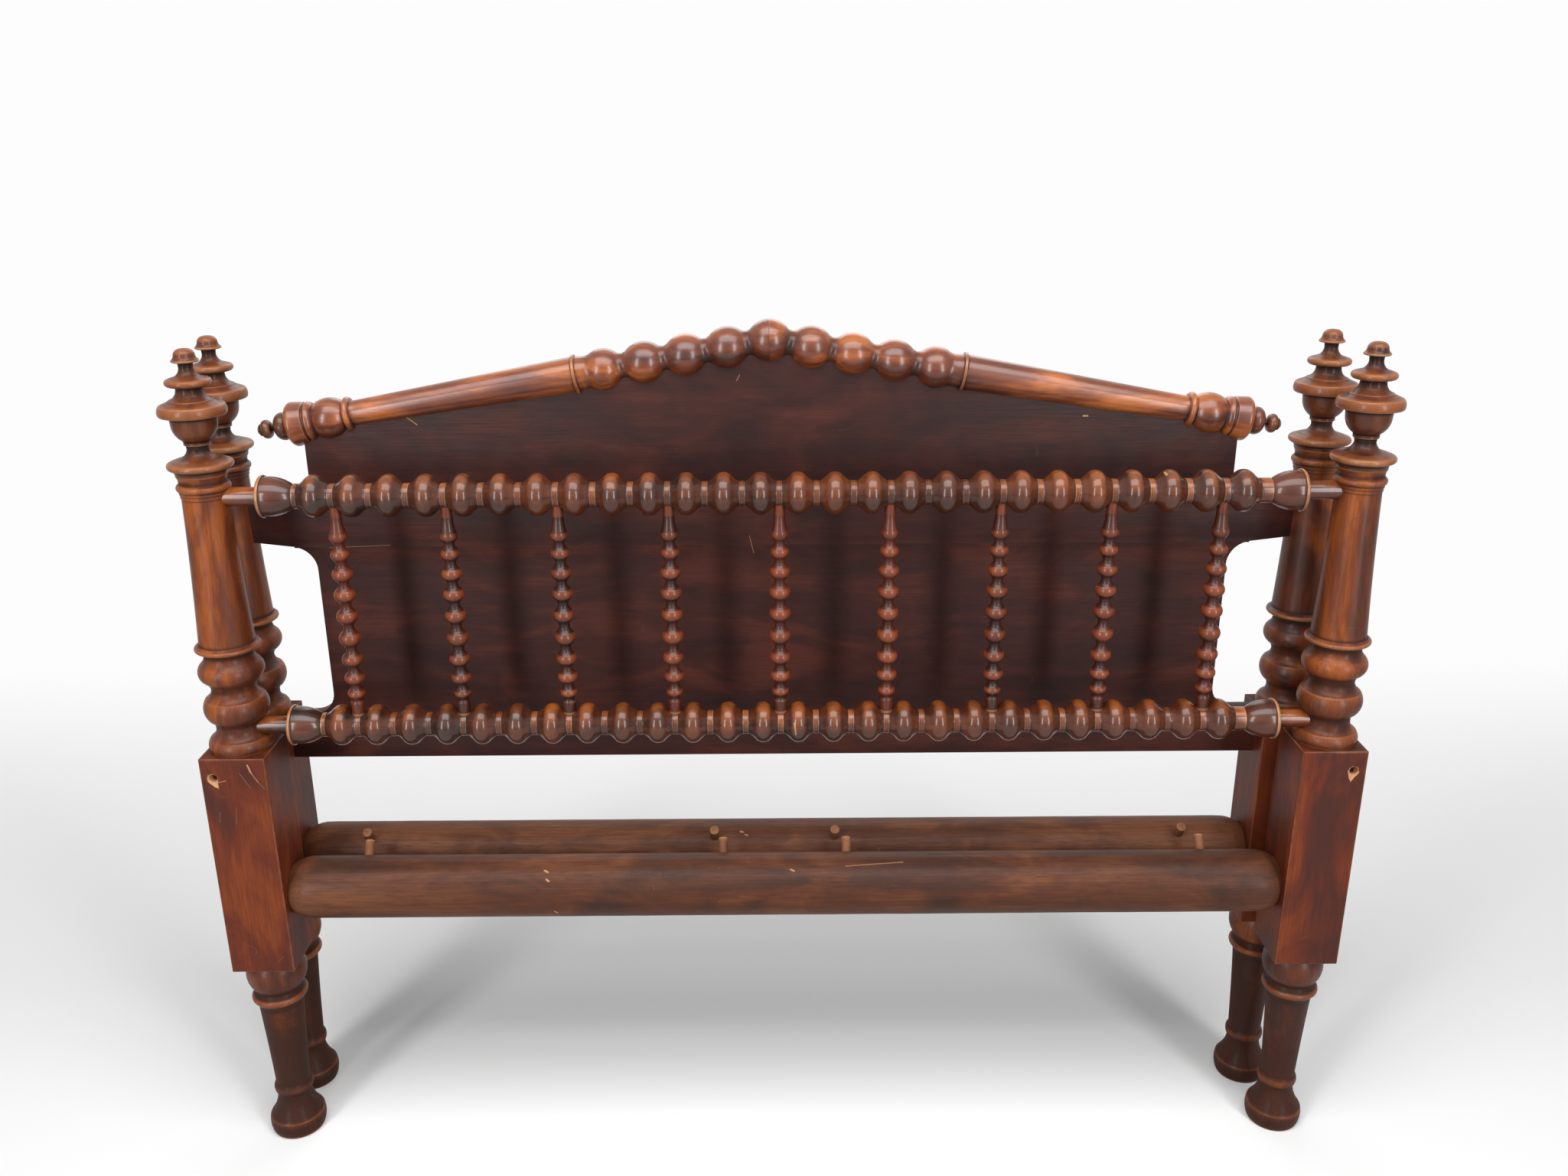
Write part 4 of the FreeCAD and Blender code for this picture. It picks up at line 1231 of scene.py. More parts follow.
FINISHES: dict[str, WoodFinish] = {
    finish.name: finish for finish in (
        # The posts and blocks are darkened towards the floor by a painted shade, strongest on the posts.
        WoodFinish("post_wood", Lay.UPRIGHT, srgb(50, 20, 10), srgb(98, 44, 16), srgb(162, 83, 24),
                   srgb(152, 80, 32), srgb(44, 20, 10), rub=0.5, dirt=0.9, grime=1.2, shy=0.2, worn=0.35,
                   fibre=0.34, streak=0.32, coat=0.2, coat_roughness=0.27, scratches=0.15),
        WoodFinish("block_wood", Lay.UPRIGHT, srgb(58, 21, 11), srgb(94, 35, 10), srgb(128, 58, 18),
                   srgb(132, 62, 26), BLACKENED, rub=0.45, dirt=0.65, grime=0.15, shy=0.1, worn=0.45,
                   fibre=0.42, streak=0.15, roughness=0.5, coat=0.08, coat_roughness=0.3,
                   scratches=0.15, marks=BLOCK_MARKS),
        WoodFinish("finial_wood", Lay.UPRIGHT, srgb(44, 20, 11), srgb(86, 40, 18), srgb(120, 62, 28),
                   srgb(148, 86, 46), BLACKENED, rub=0.6, dirt=0.95, shy=0.1, worn=0.5, fibre=0.15,
                   scratches=0.1),
        WoodFinish("beaded_rail_wood", Lay.ACROSS, srgb(36, 17, 9), srgb(70, 30, 11), srgb(102, 48, 16),
                   srgb(168, 90, 34), BLACKENED, rub=0.8, dirt=0.62, shy=0.42, worn=0.5, fibre=0.12,
                   streak=0.3, roughness=0.36, coat=0.6, coat_roughness=0.15, scratches=0.1,
                   marks=RAIL_MARKS),
        WoodFinish("spindle_wood", Lay.UPRIGHT, srgb(46, 19, 12), srgb(72, 28, 13), srgb(98, 41, 19),
                   srgb(150, 72, 34), BLACKENED, rub=0.55, dirt=0.35, shy=0.15, worn=0.5, fibre=0.15,
                   streak=0.35, roughness=0.36, coat=0.35, coat_roughness=0.17, scratches=0.0),
        WoodFinish("cross_rail_wood", Lay.ACROSS, srgb(50, 26, 16), srgb(84, 44, 24), srgb(122, 74, 46),
                   srgb(120, 74, 46), BLACKENED, rub=0.3, dirt=0.6, worn=0.45, fibre=0.42, streak=0.3,
                   roughness=0.52, coat=0.06, bump=0.5, scratches=0.15, marks=CROSS_MARKS),
        WoodFinish("panel_wood", Lay.ACROSS, srgb(32, 12, 10), srgb(50, 20, 15), srgb(78, 35, 25),
                   srgb(96, 50, 36), BLACKENED, rub=0.3, dirt=0.4, worn=0.3, fibre=0.36, streak=0.3,
                   roughness=0.44, coat=0.0, specular=0.2, scratches=0.05, marks=PANEL_MARKS),
        WoodFinish("crest_wood", Lay.ACROSS, srgb(58, 22, 10), srgb(106, 46, 16), srgb(190, 106, 40),
                   srgb(178, 100, 48), BLACKENED, rub=0.35, dirt=0.8, shy=0.25, worn=0.45, fibre=0.2,
                   roughness=0.36, coat=0.85, coat_roughness=0.24, scratches=0.1),
        WoodFinish("tip_wood", Lay.ACROSS, srgb(22, 9, 7), srgb(56, 25, 15), srgb(100, 52, 30),
                   srgb(126, 70, 42), BLACKENED, rub=0.5, dirt=0.9, fibre=0.12, coat=0.6, scratches=0.0),
        WoodFinish("peg_wood", Lay.UPRIGHT, srgb(74, 42, 26), srgb(112, 68, 42), srgb(142, 96, 64),
                   srgb(156, 108, 74), srgb(46, 26, 17), rub=0.5, dirt=0.4, roughness=0.6, coat=0.05),
        WoodFinish("bare_wood", Lay.UPRIGHT, srgb(150, 104, 70), srgb(190, 144, 104), TORN,
                   TORN, srgb(60, 34, 22), rub=0.2, dirt=0.2, roughness=0.8, coat=0.0,
                   specular=0.1, bump=0.6),
    )
}


class Finishes:
    """The materials, each made when it is first asked for."""

    def __init__(self) -> None:
        """Builds the shared groups."""
        self.shades = ShadeLibrary()
        self.made: dict[str, bpy.types.Material] = {}

    def __getitem__(self, name: str) -> bpy.types.Material:
        """The material of a named finish.

        Args:
            name: the finish's name.

        Returns:
            The material.
        """
        if name not in self.made:
            self.made[name] = FINISHES[name].material(self.shades)
        return self.made[name]


# ------------------------------------------------------------------------- sub-assemblies


@dataclass
class Post:
    """A post: turned leg, square block with its bolt hole, and turned column."""

    body: str
    side: Side
    block_low: float = 272.0
    block_high: float = BLOCK_TOP
    top: float = COLUMN_TOP
    foot_radius: float = 36.3
    ball_radius: float = 38.4
    column_low: float = 32.4
    column_high: float = 25.8
    bolt_radius: float = 5.5
    bolt_out: float = 25.0
    bolt_down: float = 26.0
    chip_width: float = 6.9
    chip_depth: float = 1.4
    chip_above: float = 7.0
    chip_below: float = 14.5
    chip_tilts: tuple[float, float] = (-24.0, 8.0)
    ease: float = 1.1
    rim: float = 4.5
    tone: float = 0.5

    @property
    def centre(self) -> Place:
        """The post's axis on the floor."""
        return post_axis(self.body, self.side)

    def leg_outline(self) -> Outline:
        """From the floor up into the block.

        Returns:
            The outline.
        """
        foot, leg, low = self.foot_radius, self.block_low, self.block_low
        return Outline.traced((0, 0), [
            (foot - 3.5, 0),
            (foot, leg * 0.055, foot - 1, leg * 0.088),
            (foot - 9, leg * 0.135, foot - 14, leg * 0.195),
            (foot - 14, leg * 0.220),
            (foot - 11, leg * 0.252, foot - 14.2, leg * 0.280),
            (foot - 11.8, leg * 0.494, foot - 7.9, leg * 0.745),
            (foot - 4.6, leg * 0.772),
            (foot - 1, leg * 0.790, foot - 4.8, leg * 0.809),
            (foot - 7.5, leg * 0.831),
            (self.ball_radius - 0.2, leg * 0.915, foot - 5, low),
            (foot - 5, low + 3),
            (0, low + 3),
        ], upright=True, bands=((low - 2.2, low + 3, 0.0, 0.8),))

    def column_outline(self) -> Outline:
        """From inside the block up to the finial's seat.

        Returns:
            The outline.
        """
        ball, high, top = self.ball_radius, self.block_high, self.top
        slim = self.column_high
        return Outline.traced((0, high - 3), [
            (ball - 1.6, high - 3),
            (ball - 1.6, high),
            (ball, high + 8, ball - 3.6, high + 16),
            (ball - 9.6, high + 21.5, ball - 11.3, high + 28),
            (ball - 11.3, high + 32),
            (ball - 9.7, high + 36.2, ball - 5.2, high + 40.5),
            (ball, high + 55.5, ball - 3.7, high + 67),
            (ball - 10.2, high + 73, ball - 12.3, high + 79),
            (ball - 11, high + 85, ball - 7.2, high + 90),
            (ball, high + 103, ball - 3.4, high + 112),
            (ball - 8.2, high + 118, ball - 9.8, high + 124.5),
            (ball - 9.2, high + 127.5),
            (ball - 3, high + 130.5),
            (ball - 0.2, high + 133.3, ball - 2.6, high + 136.5),
            (self.column_low, high + 138.7),
            (self.column_low - 4.1, high + 225, slim, top - 28),
            (slim, top - 26.5),
            (slim + 0.9, top - 26.5),
            (slim + 0.9, top - 22.5),
            (slim + 1.8, top - 21.5),
            (slim + 1.8, top - 18.5),
            (slim + 4.4, top - 14, slim + 1.6, top - 10.3),
            (slim + 0.8, top - 9.3),
            (slim + 0.9, top - 5, slim + 3.2, top),
            (0, top),
        ], upright=True, bands=((high - 3, high + 1.8, 0.0, 1.2),))

    def blank(self) -> bpy.types.Mesh:
        """The square block with eased edges, cut again a rim's width inside each edge.

        Returns:
            Its mesh, in metres, about the post's axis.
        """
        rim = self.rim
        across = (-HALF_BLOCK, -HALF_BLOCK + rim, HALF_BLOCK - rim, HALF_BLOCK)
        levels = (self.block_low, self.block_low + rim, self.block_high - rim, self.block_high)
        grid = (across, across, levels)
        form = bmesh.new()
        bmesh.ops.create_cube(form, size=1.0)
        for axis, cuts in enumerate(grid):
            for vertex in form.verts:
                vertex.co[axis] = cuts[0] if vertex.co[axis] < 0 else cuts[-1]
        bmesh.ops.bevel(form, geom=list(form.edges), offset=self.ease, segments=3, profile=0.5,
                        affect="EDGES")
        for axis, cuts in enumerate(grid):
            for cut in cuts[1:-1]:
                plane, normal = Vector((0, 0, 0)), Vector((0, 0, 0))
                plane[axis], normal[axis] = cut, 1
                bmesh.ops.bisect_plane(form, geom=form.verts[:] + form.edges[:] + form.faces[:],
                                       plane_co=plane, plane_no=normal)
        bmesh.ops.recalc_face_normals(form, faces=form.faces[:])
        mesh = bpy.data.meshes.new("block")
        form.to_mesh(mesh)
        form.free()
        mesh.transform(Matrix.Scale(MM, 4))
        return mesh

    def block(self, shop: Workshop, finishes: Finishes) -> bpy.types.Object:
        """The block with its bolt hole and the torn wood round it.

        Args:
            shop: the workshop.
            finishes: the materials.

        Returns:
            The block, in its place.
        """
        block = shop.link("block", self.blank())
        block.data.materials.append(finishes["block_wood"])
        cutters = [self.bolt_bore(shop, finishes), self.torn_chip(shop, finishes)]
        for cutter in cutters:
            carve = block.modifiers.new("carve", "BOOLEAN")
            carve.operation = "DIFFERENCE"
            carve.solver = "EXACT"
            carve.material_mode = "TRANSFER"
            carve.object = cutter
        shop.settled(block)
        shop.drop(*cutters)
        self.relieve(block.data)
        block.data.transform(Matrix.Translation(Vector(self.centre) * MM))
        return block

    def relieve(self, mesh: bpy.types.Mesh) -> None:
        """Writes the block's relief: high along its edges, nothing on its faces, low on its top.

        Args:
            mesh: the block's mesh, about the post's axis.
        """
        edge_relief, top_dirt, top_depth = 0.4, 0.8, 0.6
        spots = np.empty(len(mesh.vertices) * 3, np.float32)
        mesh.vertices.foreach_get("co", spots)
        spots = spots.reshape(-1, 3) / MM
        gaps = np.stack([
            HALF_BLOCK - np.abs(spots[:, 0]), HALF_BLOCK - np.abs(spots[:, 1]),
            np.minimum(spots[:, 2] - self.block_low, self.block_high - spots[:, 2]),
        ], axis=1)
        gaps.sort(axis=1)
        near = np.clip(1 - gaps[:, 1] / self.rim, 0, 1)
        ledge = np.clip(spots[:, 2] - self.block_high + top_depth, 0, top_depth) / top_depth
        Workshop.store(mesh, "relief", near * edge_relief - ledge * top_dirt)
        Workshop.store(mesh, "edge", near ** 2)

    def bolt_bore(self, shop: Workshop, finishes: Finishes) -> bpy.types.Object:
        """What cuts the bolt hole through the block.

        Args:
            shop: the workshop.
            finishes: the materials.

        Returns:
            The cutter.
        """
        length = BLOCK + 20
        outline = Outline.traced((-length / 2, 0), [
            (-length / 2, self.bolt_radius), (length / 2, self.bolt_radius), (length / 2, 0)], ease=0.1)
        place = Matrix.Rotation(math.pi / 2, 4, "X")
        return shop.turned("bore", outline, finishes["bare_wood"], sides=28, unevenness=0.0, place=place,
                           at=(self.bolt_out * self.side.value, 0, self.block_high - self.bolt_down))

    def torn_chip(self, shop: Workshop, finishes: Finishes) -> bpy.types.Object:
        """What cuts the shallow torn place under the bolt hole's mouth.

        Args:
            shop: the workshop.
            finishes: the materials.

        Returns:
            The cutter, narrower below, with a ragged side.
        """
        form = bmesh.new()
        bmesh.ops.create_icosphere(form, subdivisions=3, radius=1.0)
        outward = -1 if self.body == FOOT else 1
        for vertex in form.verts:
            x, y, z = vertex.co
            ragged = 1 + 0.07 * math.sin(9 * x + 5 * z) + 0.05 * math.cos(17 * z - 6 * x)
            narrow = 1.0 - 0.8 * max(0.0, -z) ** 1.2
            reach = self.chip_above if z > 0 else self.chip_below
            vertex.co = (x * self.chip_width * ragged * narrow, y * self.chip_depth, z * reach * ragged)
        tilt = self.chip_tilts[0 if self.side is Side.LEFT else 1]
        turned = Matrix.Rotation(math.radians(tilt), 4, "Y")
        spot = (self.bolt_out * self.side.value - 0.8, HALF_BLOCK * outward,
                self.block_high - self.bolt_down - 0.6)
        mesh = bpy.data.meshes.new("chip")
        bmesh.ops.transform(form, matrix=Matrix.Scale(MM, 4) @ Matrix.Translation(spot) @ turned,
                            verts=form.verts[:])
        form.to_mesh(mesh)
        form.free()
        mesh.materials.append(finishes["bare_wood"])
        return shop.link("chip", mesh)

    def build(self, shop: Workshop, finishes: Finishes) -> None:
        """Builds the post and hands it over.

        Args:
            shop: the workshop.
            finishes: the materials.
        """
        name = f"{NODE_PREFIX[self.body]}_post_{self.side.word}"
        wood = finishes["post_wood"]
        leg = shop.turned("leg", self.leg_outline(), wood, at=self.centre, sides=72)
        column = shop.turned("column", self.column_outline(), wood, at=self.centre, sides=72)
        post = shop.joined(f"{name}_turned", [column, leg, self.block(shop, finishes)])
        shop.finished(post, self.body, [name], self.tone)


@dataclass
class Finial:
    """The turned finial on a post."""

    body: str
    side: Side
    seat: float = COLUMN_TOP
    tip: float = 1065.0
    disc: float = 36.6
    torus: float = 37.4
    tone: float = 0.5

    def outline(self) -> Outline:
        """From the seat up to the cap.

        Returns:
            The outline.
        """
        seat, tip, disc, torus = self.seat, self.tip, self.disc, self.torus
        return Outline.traced((0, seat), [
            (disc - 8, seat),
            (disc - 7.3, seat + 3.5, disc - 5.6, seat + 6.5),
            (disc - 2, seat + 7.8),
            (disc, seat + 11.3, disc - 2, seat + 15),
            (disc - 11.1, seat + 18.4),
            (disc - 20.4, seat + 22.2, disc - 24.6, seat + 29.5),
            (disc - 24, seat + 34.3),
            (disc - 22, seat + 35),
            (disc - 22, seat + 39),
            (disc - 21.4, seat + 40),
            (disc - 14.1, seat + 48, disc - 11.3, seat + 57),
            (disc - 10.6, seat + 66),
            (disc - 10.4, seat + 68.3),
            (torus - 1, seat + 69.3),
            (torus, seat + 71),
            (torus + 0.1, seat + 76.5, torus - 1.8, seat + 81),
            (torus - 12.4, seat + 85.6),
            (torus - 13.4, seat + 87),
            (torus - 19.6, seat + 90.5, torus - 22.5, seat + 96.5),
            (torus - 23.1, tip - 43.5),
            (torus - 22, tip - 42.4),
            (torus - 15.4, tip - 41.4),
            (torus - 12, tip - 37.4, torus - 13.8, tip - 33.8),
            (torus - 23.8, tip - 30.4),
            (torus - 28.1, tip - 26, torus - 29.5, tip - 21),
            (torus - 29.2, tip - 16.5),
            (torus - 28.4, tip - 15.4),
            (torus - 23, tip - 14.6),
            (torus - 22.1, tip - 13.4),
            (torus - 22.5, tip - 12.4),
            (torus - 24.8, tip - 10, torus - 25.8, tip - 6.4),
            (torus - 27.8, tip - 2.2, 1.5, tip),
            (0, tip),
        ], upright=True)

    def build(self, shop: Workshop, finishes: Finishes) -> None:
        """Builds the finial and hands it over.

        Args:
            shop: the workshop.
            finishes: the materials.
        """
        name = f"{NODE_PREFIX[self.body]}_finial_{self.side.word}"
        finial = shop.turned(f"{name}_turned", self.outline(), finishes["finial_wood"],
                             at=post_axis(self.body, self.side), sides=72)
        shop.finished(finial, self.body, [name], self.tone)


@dataclass
class BeadedRail:
    """A rail of equal beads between two lipped drums, with slim round tenons."""

    node: str
    height: float
    beads: int = 26
    pitch: float = BEAD_PITCH
    bead_radius: float = 25.2
    collar: float = COLLAR
    shift: float = RAIL_SHIFT
    drum_end: float = 606.5
    tenon: float = 11.2
    tone: float = 0.5
    sides: int = 48

    @property
    def first(self) -> float:
        """Where the first bead's middle is, from the rail's middle."""
        return self.shift - self.pitch * (self.beads - 1) / 2

    @property
    def last(self) -> float:
        """Where the last bead's middle is."""
        return self.shift + self.pitch * (self.beads - 1) / 2

    def bead_outline(self) -> Outline:
        """One bead between two half collars, open at both ends.

        Returns:
            The outline.
        """
        half = self.pitch / 2
        bead_half = half - 3.5
        bead, valley = self.bead_radius, self.collar - 0.8
        return Outline.traced((-half, self.collar), [
            (-bead_half, self.collar),
            (-bead_half, valley),
            (-13.6, bead - 8.1, -9.6, bead - 4.3),
            (0, bead, 9.6, bead - 4.3),
            (13.6, bead - 8.1, bead_half, valley),
            (bead_half, self.collar),
            (half, self.collar),
        ], bands=((-half - 1, -bead_half + 0.3, 0.75, 0.1), (bead_half - 0.3, half + 1, 0.75, 0.1)))

    def end_outline(self, inner: float) -> Outline:
        """A drum and its tenon, from the last collar outward.

        Args:
            inner: where the last collar ends.

        Returns:
            The outline.
        """
        outer, radius = self.drum_end, self.bead_radius
        return Outline.traced((inner, self.collar), [
            (outer - 38.4, self.collar),
            (outer - 38.4, self.collar - 1.8),
            (outer - 24, radius - 4, outer - 6.5, radius - 2),
            (outer - 4.8, radius - 1.8),
            (outer - 4.2, radius - 0.4),
            (outer - 2, radius, outer, radius - 1.6),
            (outer, self.tenon),
            (HALF_SPACING - 10, self.tenon),
            (HALF_SPACING - 10, 0),
        ], bands=((inner - 1, outer - 38.4, 0.75, 0.1), (outer + 2, HALF_SPACING, 0.7, 0.0)))

    def build(self, shop: Workshop, finishes: Finishes) -> None:
        """Builds the rail and hands it over.

        Args:
            shop: the workshop.
            finishes: the materials.
        """
        x, y = end_centre(FOOT)
        wood = finishes["beaded_rail_wood"]
        half = self.pitch / 2
        bead = shop.turned("bead", self.bead_outline(), wood, Lay.ACROSS, sides=self.sides, unevenness=0.0)
        right = shop.turned("drum_right", self.end_outline(self.last + half), wood, Lay.ACROSS,
                            at=(x, y, self.height), sides=self.sides, unevenness=0.0)
        left = shop.turned("drum_left", self.end_outline(half - self.first), wood, Lay.ACROSS,
                           sides=self.sides, unevenness=0.0,
                           place=Matrix.Rotation(math.pi, 4, "Z"), at=(x, y, self.height))
        ends = shop.joined("drums", [right, left])
        places = [(x + self.first + self.pitch * n, y, self.height) for n in range(self.beads)]
        rail = shop.copied(f"{self.node}_turned", bead, places, wood, weld=0.05, ends=ends)
        shop.finished(rail, FOOT, [self.node], self.tone)


@dataclass
class SpindleRow:
    """The footboard's spindles, a copy of one turning at every third gap of the rails."""

    count: int = 9
    step: float = 3 * BEAD_PITCH
    shift: float = RAIL_SHIFT
    bead_radius: float = 12.9
    neck: float = 6.2
    top_pin: float = 6.6
    low_pin: float = 7.9
    low_axis: float = LOWER_RAIL
    top_axis: float = TOP_RAIL
    bare: float = 33.6
    bury: float = 8.0
    beads: tuple[tuple[float, float], ...] = (
        (18.4, 2.6), (23.2, 0.9), (25.6, 0.4), (29.2, 0.0),
        (27.4, 0.1), (26.6, 0.2), (25.4, 0.7), (23.6, 1.7),
    )

    def outline(self) -> Outline:
        """Pin, eight beads that swell and shrink, a teardrop and a slim pin.

        Returns:
            The outline.
        """
        height = self.low_axis + self.bare
        steps: list[Step] = [
            (self.low_pin, self.low_axis + self.bury),
            (self.low_pin, height - 3),
            (self.neck, height),
        ]
        for number, (length, slimmer) in enumerate(self.beads):
            bead = self.bead_radius - slimmer
            flank = self.neck + (bead - self.neck) * 0.42
            hollow = (self.neck, height) if number else ()
            steps.append((*hollow, flank, height + length * 0.19))
            steps.append((bead, height + length * 0.45, flank, height + length * 0.74))
            height += length
        steps += [
            (self.neck, height, self.neck + 1.9, height + 3.4),
            (self.bead_radius - 2.3, height + 9, self.neck + 2.7, height + 15.5),
            (self.neck + 1.4, height + 21, self.top_pin, height + 31),
            (self.top_pin, self.top_axis - self.bury),
            (0, self.top_axis - self.bury),
        ]
        seat, roof = self.low_axis + COLLAR, self.top_axis - COLLAR
        return Outline.traced((0, self.low_axis + self.bury), steps, upright=True, bands=(
            (seat - 1, seat + 2.2, 0.2, 1.0), (roof - 11, roof + 4, 0.7, 0.15)))

    def build(self, shop: Workshop, finishes: Finishes) -> None:
        """Builds the row and hands it over.

        Args:
            shop: the workshop.
            finishes: the materials.
        """
        x, y = end_centre(FOOT)
        wood = finishes["spindle_wood"]
        one = shop.turned("spindle", self.outline(), wood, sides=40, unevenness=0.2)
        first = x + self.shift - self.step * (self.count - 1) / 2
        places = [(first + self.step * n, y, 0.0) for n in range(self.count)]
        row = shop.copied("foot_spindles_turned", one, places, wood, spin=math.tau)
        shop.finished(row, FOOT, [f"foot_spindle_{n + 1}" for n in range(self.count)])


@dataclass
class CrossRail:
    """A fat round rail between two blocks, with its four driven pegs."""

    body: str
    radius: float = CROSS_RADIUS
    peg_radius: float = 6.0
    peg_reach: float = 60.0
    peg_tilt: float = 36.0
    peg_places: tuple[float, ...] = (-540.0, -80.0, 80.0, 540.0)
    tone: float = 0.5

    @property
    def height(self) -> float:
        """How high the rail's axis is."""
        return CROSS_HEIGHT[self.body]

    def outline(self) -> Outline:
        """From block to block, eased at both ends.

        Returns:
            The outline.
        """
        shoulder = HALF_SPACING - HALF_BLOCK
        radius = self.radius
        return Outline.traced((-shoulder, 0), [
            (-shoulder, radius - 9),
            (-shoulder + 8, radius - 4.1, -shoulder + 26, radius),
            (shoulder - 26, radius),
            (shoulder - 8, radius - 4.1, shoulder, radius - 9),
            (shoulder, 0),
        ])

    def peg_outline(self) -> Outline:
        """A peg from inside the rail to its rounded end.

        Returns:
            The outline.
        """
        radius, reach = self.peg_radius, self.peg_reach
        return Outline.traced((0, self.radius - 8), [
            (radius, self.radius - 8),
            (radius, reach - 2),
            (radius - 1, reach - 1),
            (radius * 0.5, reach - 0.2, 1.5, reach),
            (0, reach),
        ], upright=True)

    def build(self, shop: Workshop, finishes: Finishes) -> None:
        """Builds the rail and its pegs and hands them over.

        Args:
            shop: the workshop.
            finishes: the materials.
        """
        x, y = end_centre(self.body)
        prefix = NODE_PREFIX[self.body]
        name = f"{prefix}_cross_rail"
        rail = shop.turned(f"{name}_turned", self.outline(), finishes["cross_rail_wood"], Lay.ACROSS,
                           at=(x, y, self.height), sides=96, unevenness=0.7)
        shop.finished(rail, self.body, [name], self.tone)
        lean = -self.peg_tilt if self.body == FOOT else self.peg_tilt
        peg = shop.turned("peg", self.peg_outline(), finishes["peg_wood"], sides=28, unevenness=0.3,
                          place=Matrix.Rotation(math.radians(lean), 4, "X"))
        places = [(x + place, y, self.height) for place in self.peg_places]
        pegs = shop.copied(f"{prefix}_pegs_turned", peg, places, finishes["peg_wood"])
        nodes = [f"{prefix}_peg_{n}" for n in range(1, len(places) + 1)]
        shop.finished(pegs, self.body, nodes)


@dataclass
class HeadPanel:
    """The headboard's two glued boards, with ears that reach the posts."""

    thickness: float = PANEL_THICKNESS
    bottom: float = 515.0
    glue: float = GLUE_LINE
    half_width: float = 567.5
    ear_top: float = 862.0
    low_ear_top: float = 577.0
    crest_height: float = CREST_HEIGHT
    crest_rise: float = CREST_RISE
    crest_shift: float = CREST_SHIFT
    groove: float = 8.0
    side_step: float = 2.5
    flare: float = 26.0
    ease: float = 0.8
    rim_relief: float = 0.45
    tones: tuple[float, float] = (0.35, 0.6)

    @staticmethod
    def corner(centre: tuple[float, float], radius: float, start: float,
               end: float) -> list[tuple[float, float]]:
        """Points round part of a circle.

        Args:
            centre: its centre.
            radius: its radius.
            start: the angle of the first point, in degrees.
            end: the angle of the last point, in degrees.

        Returns:
            The points.
        """
        count = 10
        angles = [math.radians(start + (end - start) * n / count) for n in range(count + 1)]
        return [(centre[0] + radius * math.cos(a), centre[1] + radius * math.sin(a)) for a in angles]

    def upper_outline(self) -> list[tuple[float, float]]:
        """The gabled board, round from its lower left corner.

        Returns:
            Its corners in X and Z.
        """
        reach = HALF_SPACING - 20
        side = self.half_width
        slope = math.hypot(1, self.crest_rise)
        peak = self.crest_height - self.groove * slope
        ease, ear_rise = 22, 6.6

        def edge(x: float, hand: int) -> float:
            """How high the sloping top edge is at an x of the left (-1) or right (1) half."""
            return peak - (x * hand - self.crest_shift) * hand * self.crest_rise

        flare = side + self.side_step + self.flare
        right = [(flare, self.glue), (reach, self.glue + ear_rise), (reach, self.ear_top)]
        right += self.corner((side + ease, self.ear_top + ease), ease, 270, 180)
        right += [(side, edge(side, 1)), (self.crest_shift, peak)]
        left = [(-side, edge(side, -1))]
        left += self.corner((-side - ease, self.ear_top + ease), ease, 0, -90)
        left += [(-reach, self.ear_top), (-reach, self.glue + ear_rise), (-flare, self.glue)]
        return right + left

    def lower_outline(self) -> list[tuple[float, float]]:
        """The board below the glue line, hollowed at each side.

        Returns:
            Its corners in X and Z.
        """
        side = self.half_width + self.side_step
        flare, sweep, ease, lip = side + self.flare, 30, 30, 1.5
        reach = HALF_SPACING - HALF_BLOCK + 6
        right = [(flare, self.glue - lip)]
        right += self.corner((side + sweep, self.glue - sweep), sweep, 108, 180)
        right += self.corner((side + ease, self.low_ear_top + ease), ease, 180, 270)
        right += [(reach, self.low_ear_top), (reach, self.bottom)]
        left = [(-x, z) for x, z in reversed(right)]
        return [(flare, self.glue)] + right + left + [(-flare, self.glue)]

    def board(self, name: str, outline: list[tuple[float, float]], finish: bpy.types.Material,
              shop: Workshop) -> bpy.types.Object:
        """A flat board with eased edges.

        Args:
            name: the board's name.
            outline: its corners in X and Z.
            finish: its material.
            shop: the workshop.

        Returns:
            The board.
        """
        def off_glue(vertex: bmesh.types.BMVert) -> bool:
            """Whether a point lies away from the glue line, where edges aren't eased."""
            return abs(vertex.co.z - self.glue) > 0.5

        smallest_face = 5000
        x, y = end_centre(HEAD)
        form = bmesh.new()
        half = self.thickness / 2
        front = form.faces.new([form.verts.new((px + x, y - half, pz)) for px, pz in outline])
        form.normal_update()
        if front.normal.y > 0:
            front.normal_flip()
        extruded = bmesh.ops.extrude_face_region(form, geom=[front])
        moved = [item for item in extruded["geom"] if isinstance(item, bmesh.types.BMVert)]
        bmesh.ops.translate(form, vec=(0, self.thickness, 0), verts=moved)
        bmesh.ops.recalc_face_normals(form, faces=form.faces[:])
        faces = [face for face in form.faces if abs(face.normal.y) > 0.9]
        rims = {edge for face in faces for edge in face.edges
                if any(off_glue(vertex) for vertex in edge.verts)}
        bmesh.ops.bevel(form, geom=list(rims), offset=self.ease, segments=2, profile=0.5, affect="EDGES")
        layers = [form.verts.layers.float.new(label) for label in ("relief", "edge")]
        inner = {vertex for face in form.faces
                 if abs(face.normal.y) > 0.999 and face.calc_area() > smallest_face
                 for vertex in face.verts}
        for vertex in form.verts:
            for layer in layers:
                vertex[layer] = self.rim_relief if vertex not in inner and off_glue(vertex) else 0.0
        mesh = bpy.data.meshes.new(name)
        form.to_mesh(mesh)
        form.free()
        mesh.transform(Matrix.Scale(MM, 4))
        mesh.materials.append(finish)
        return shop.link(name, mesh)

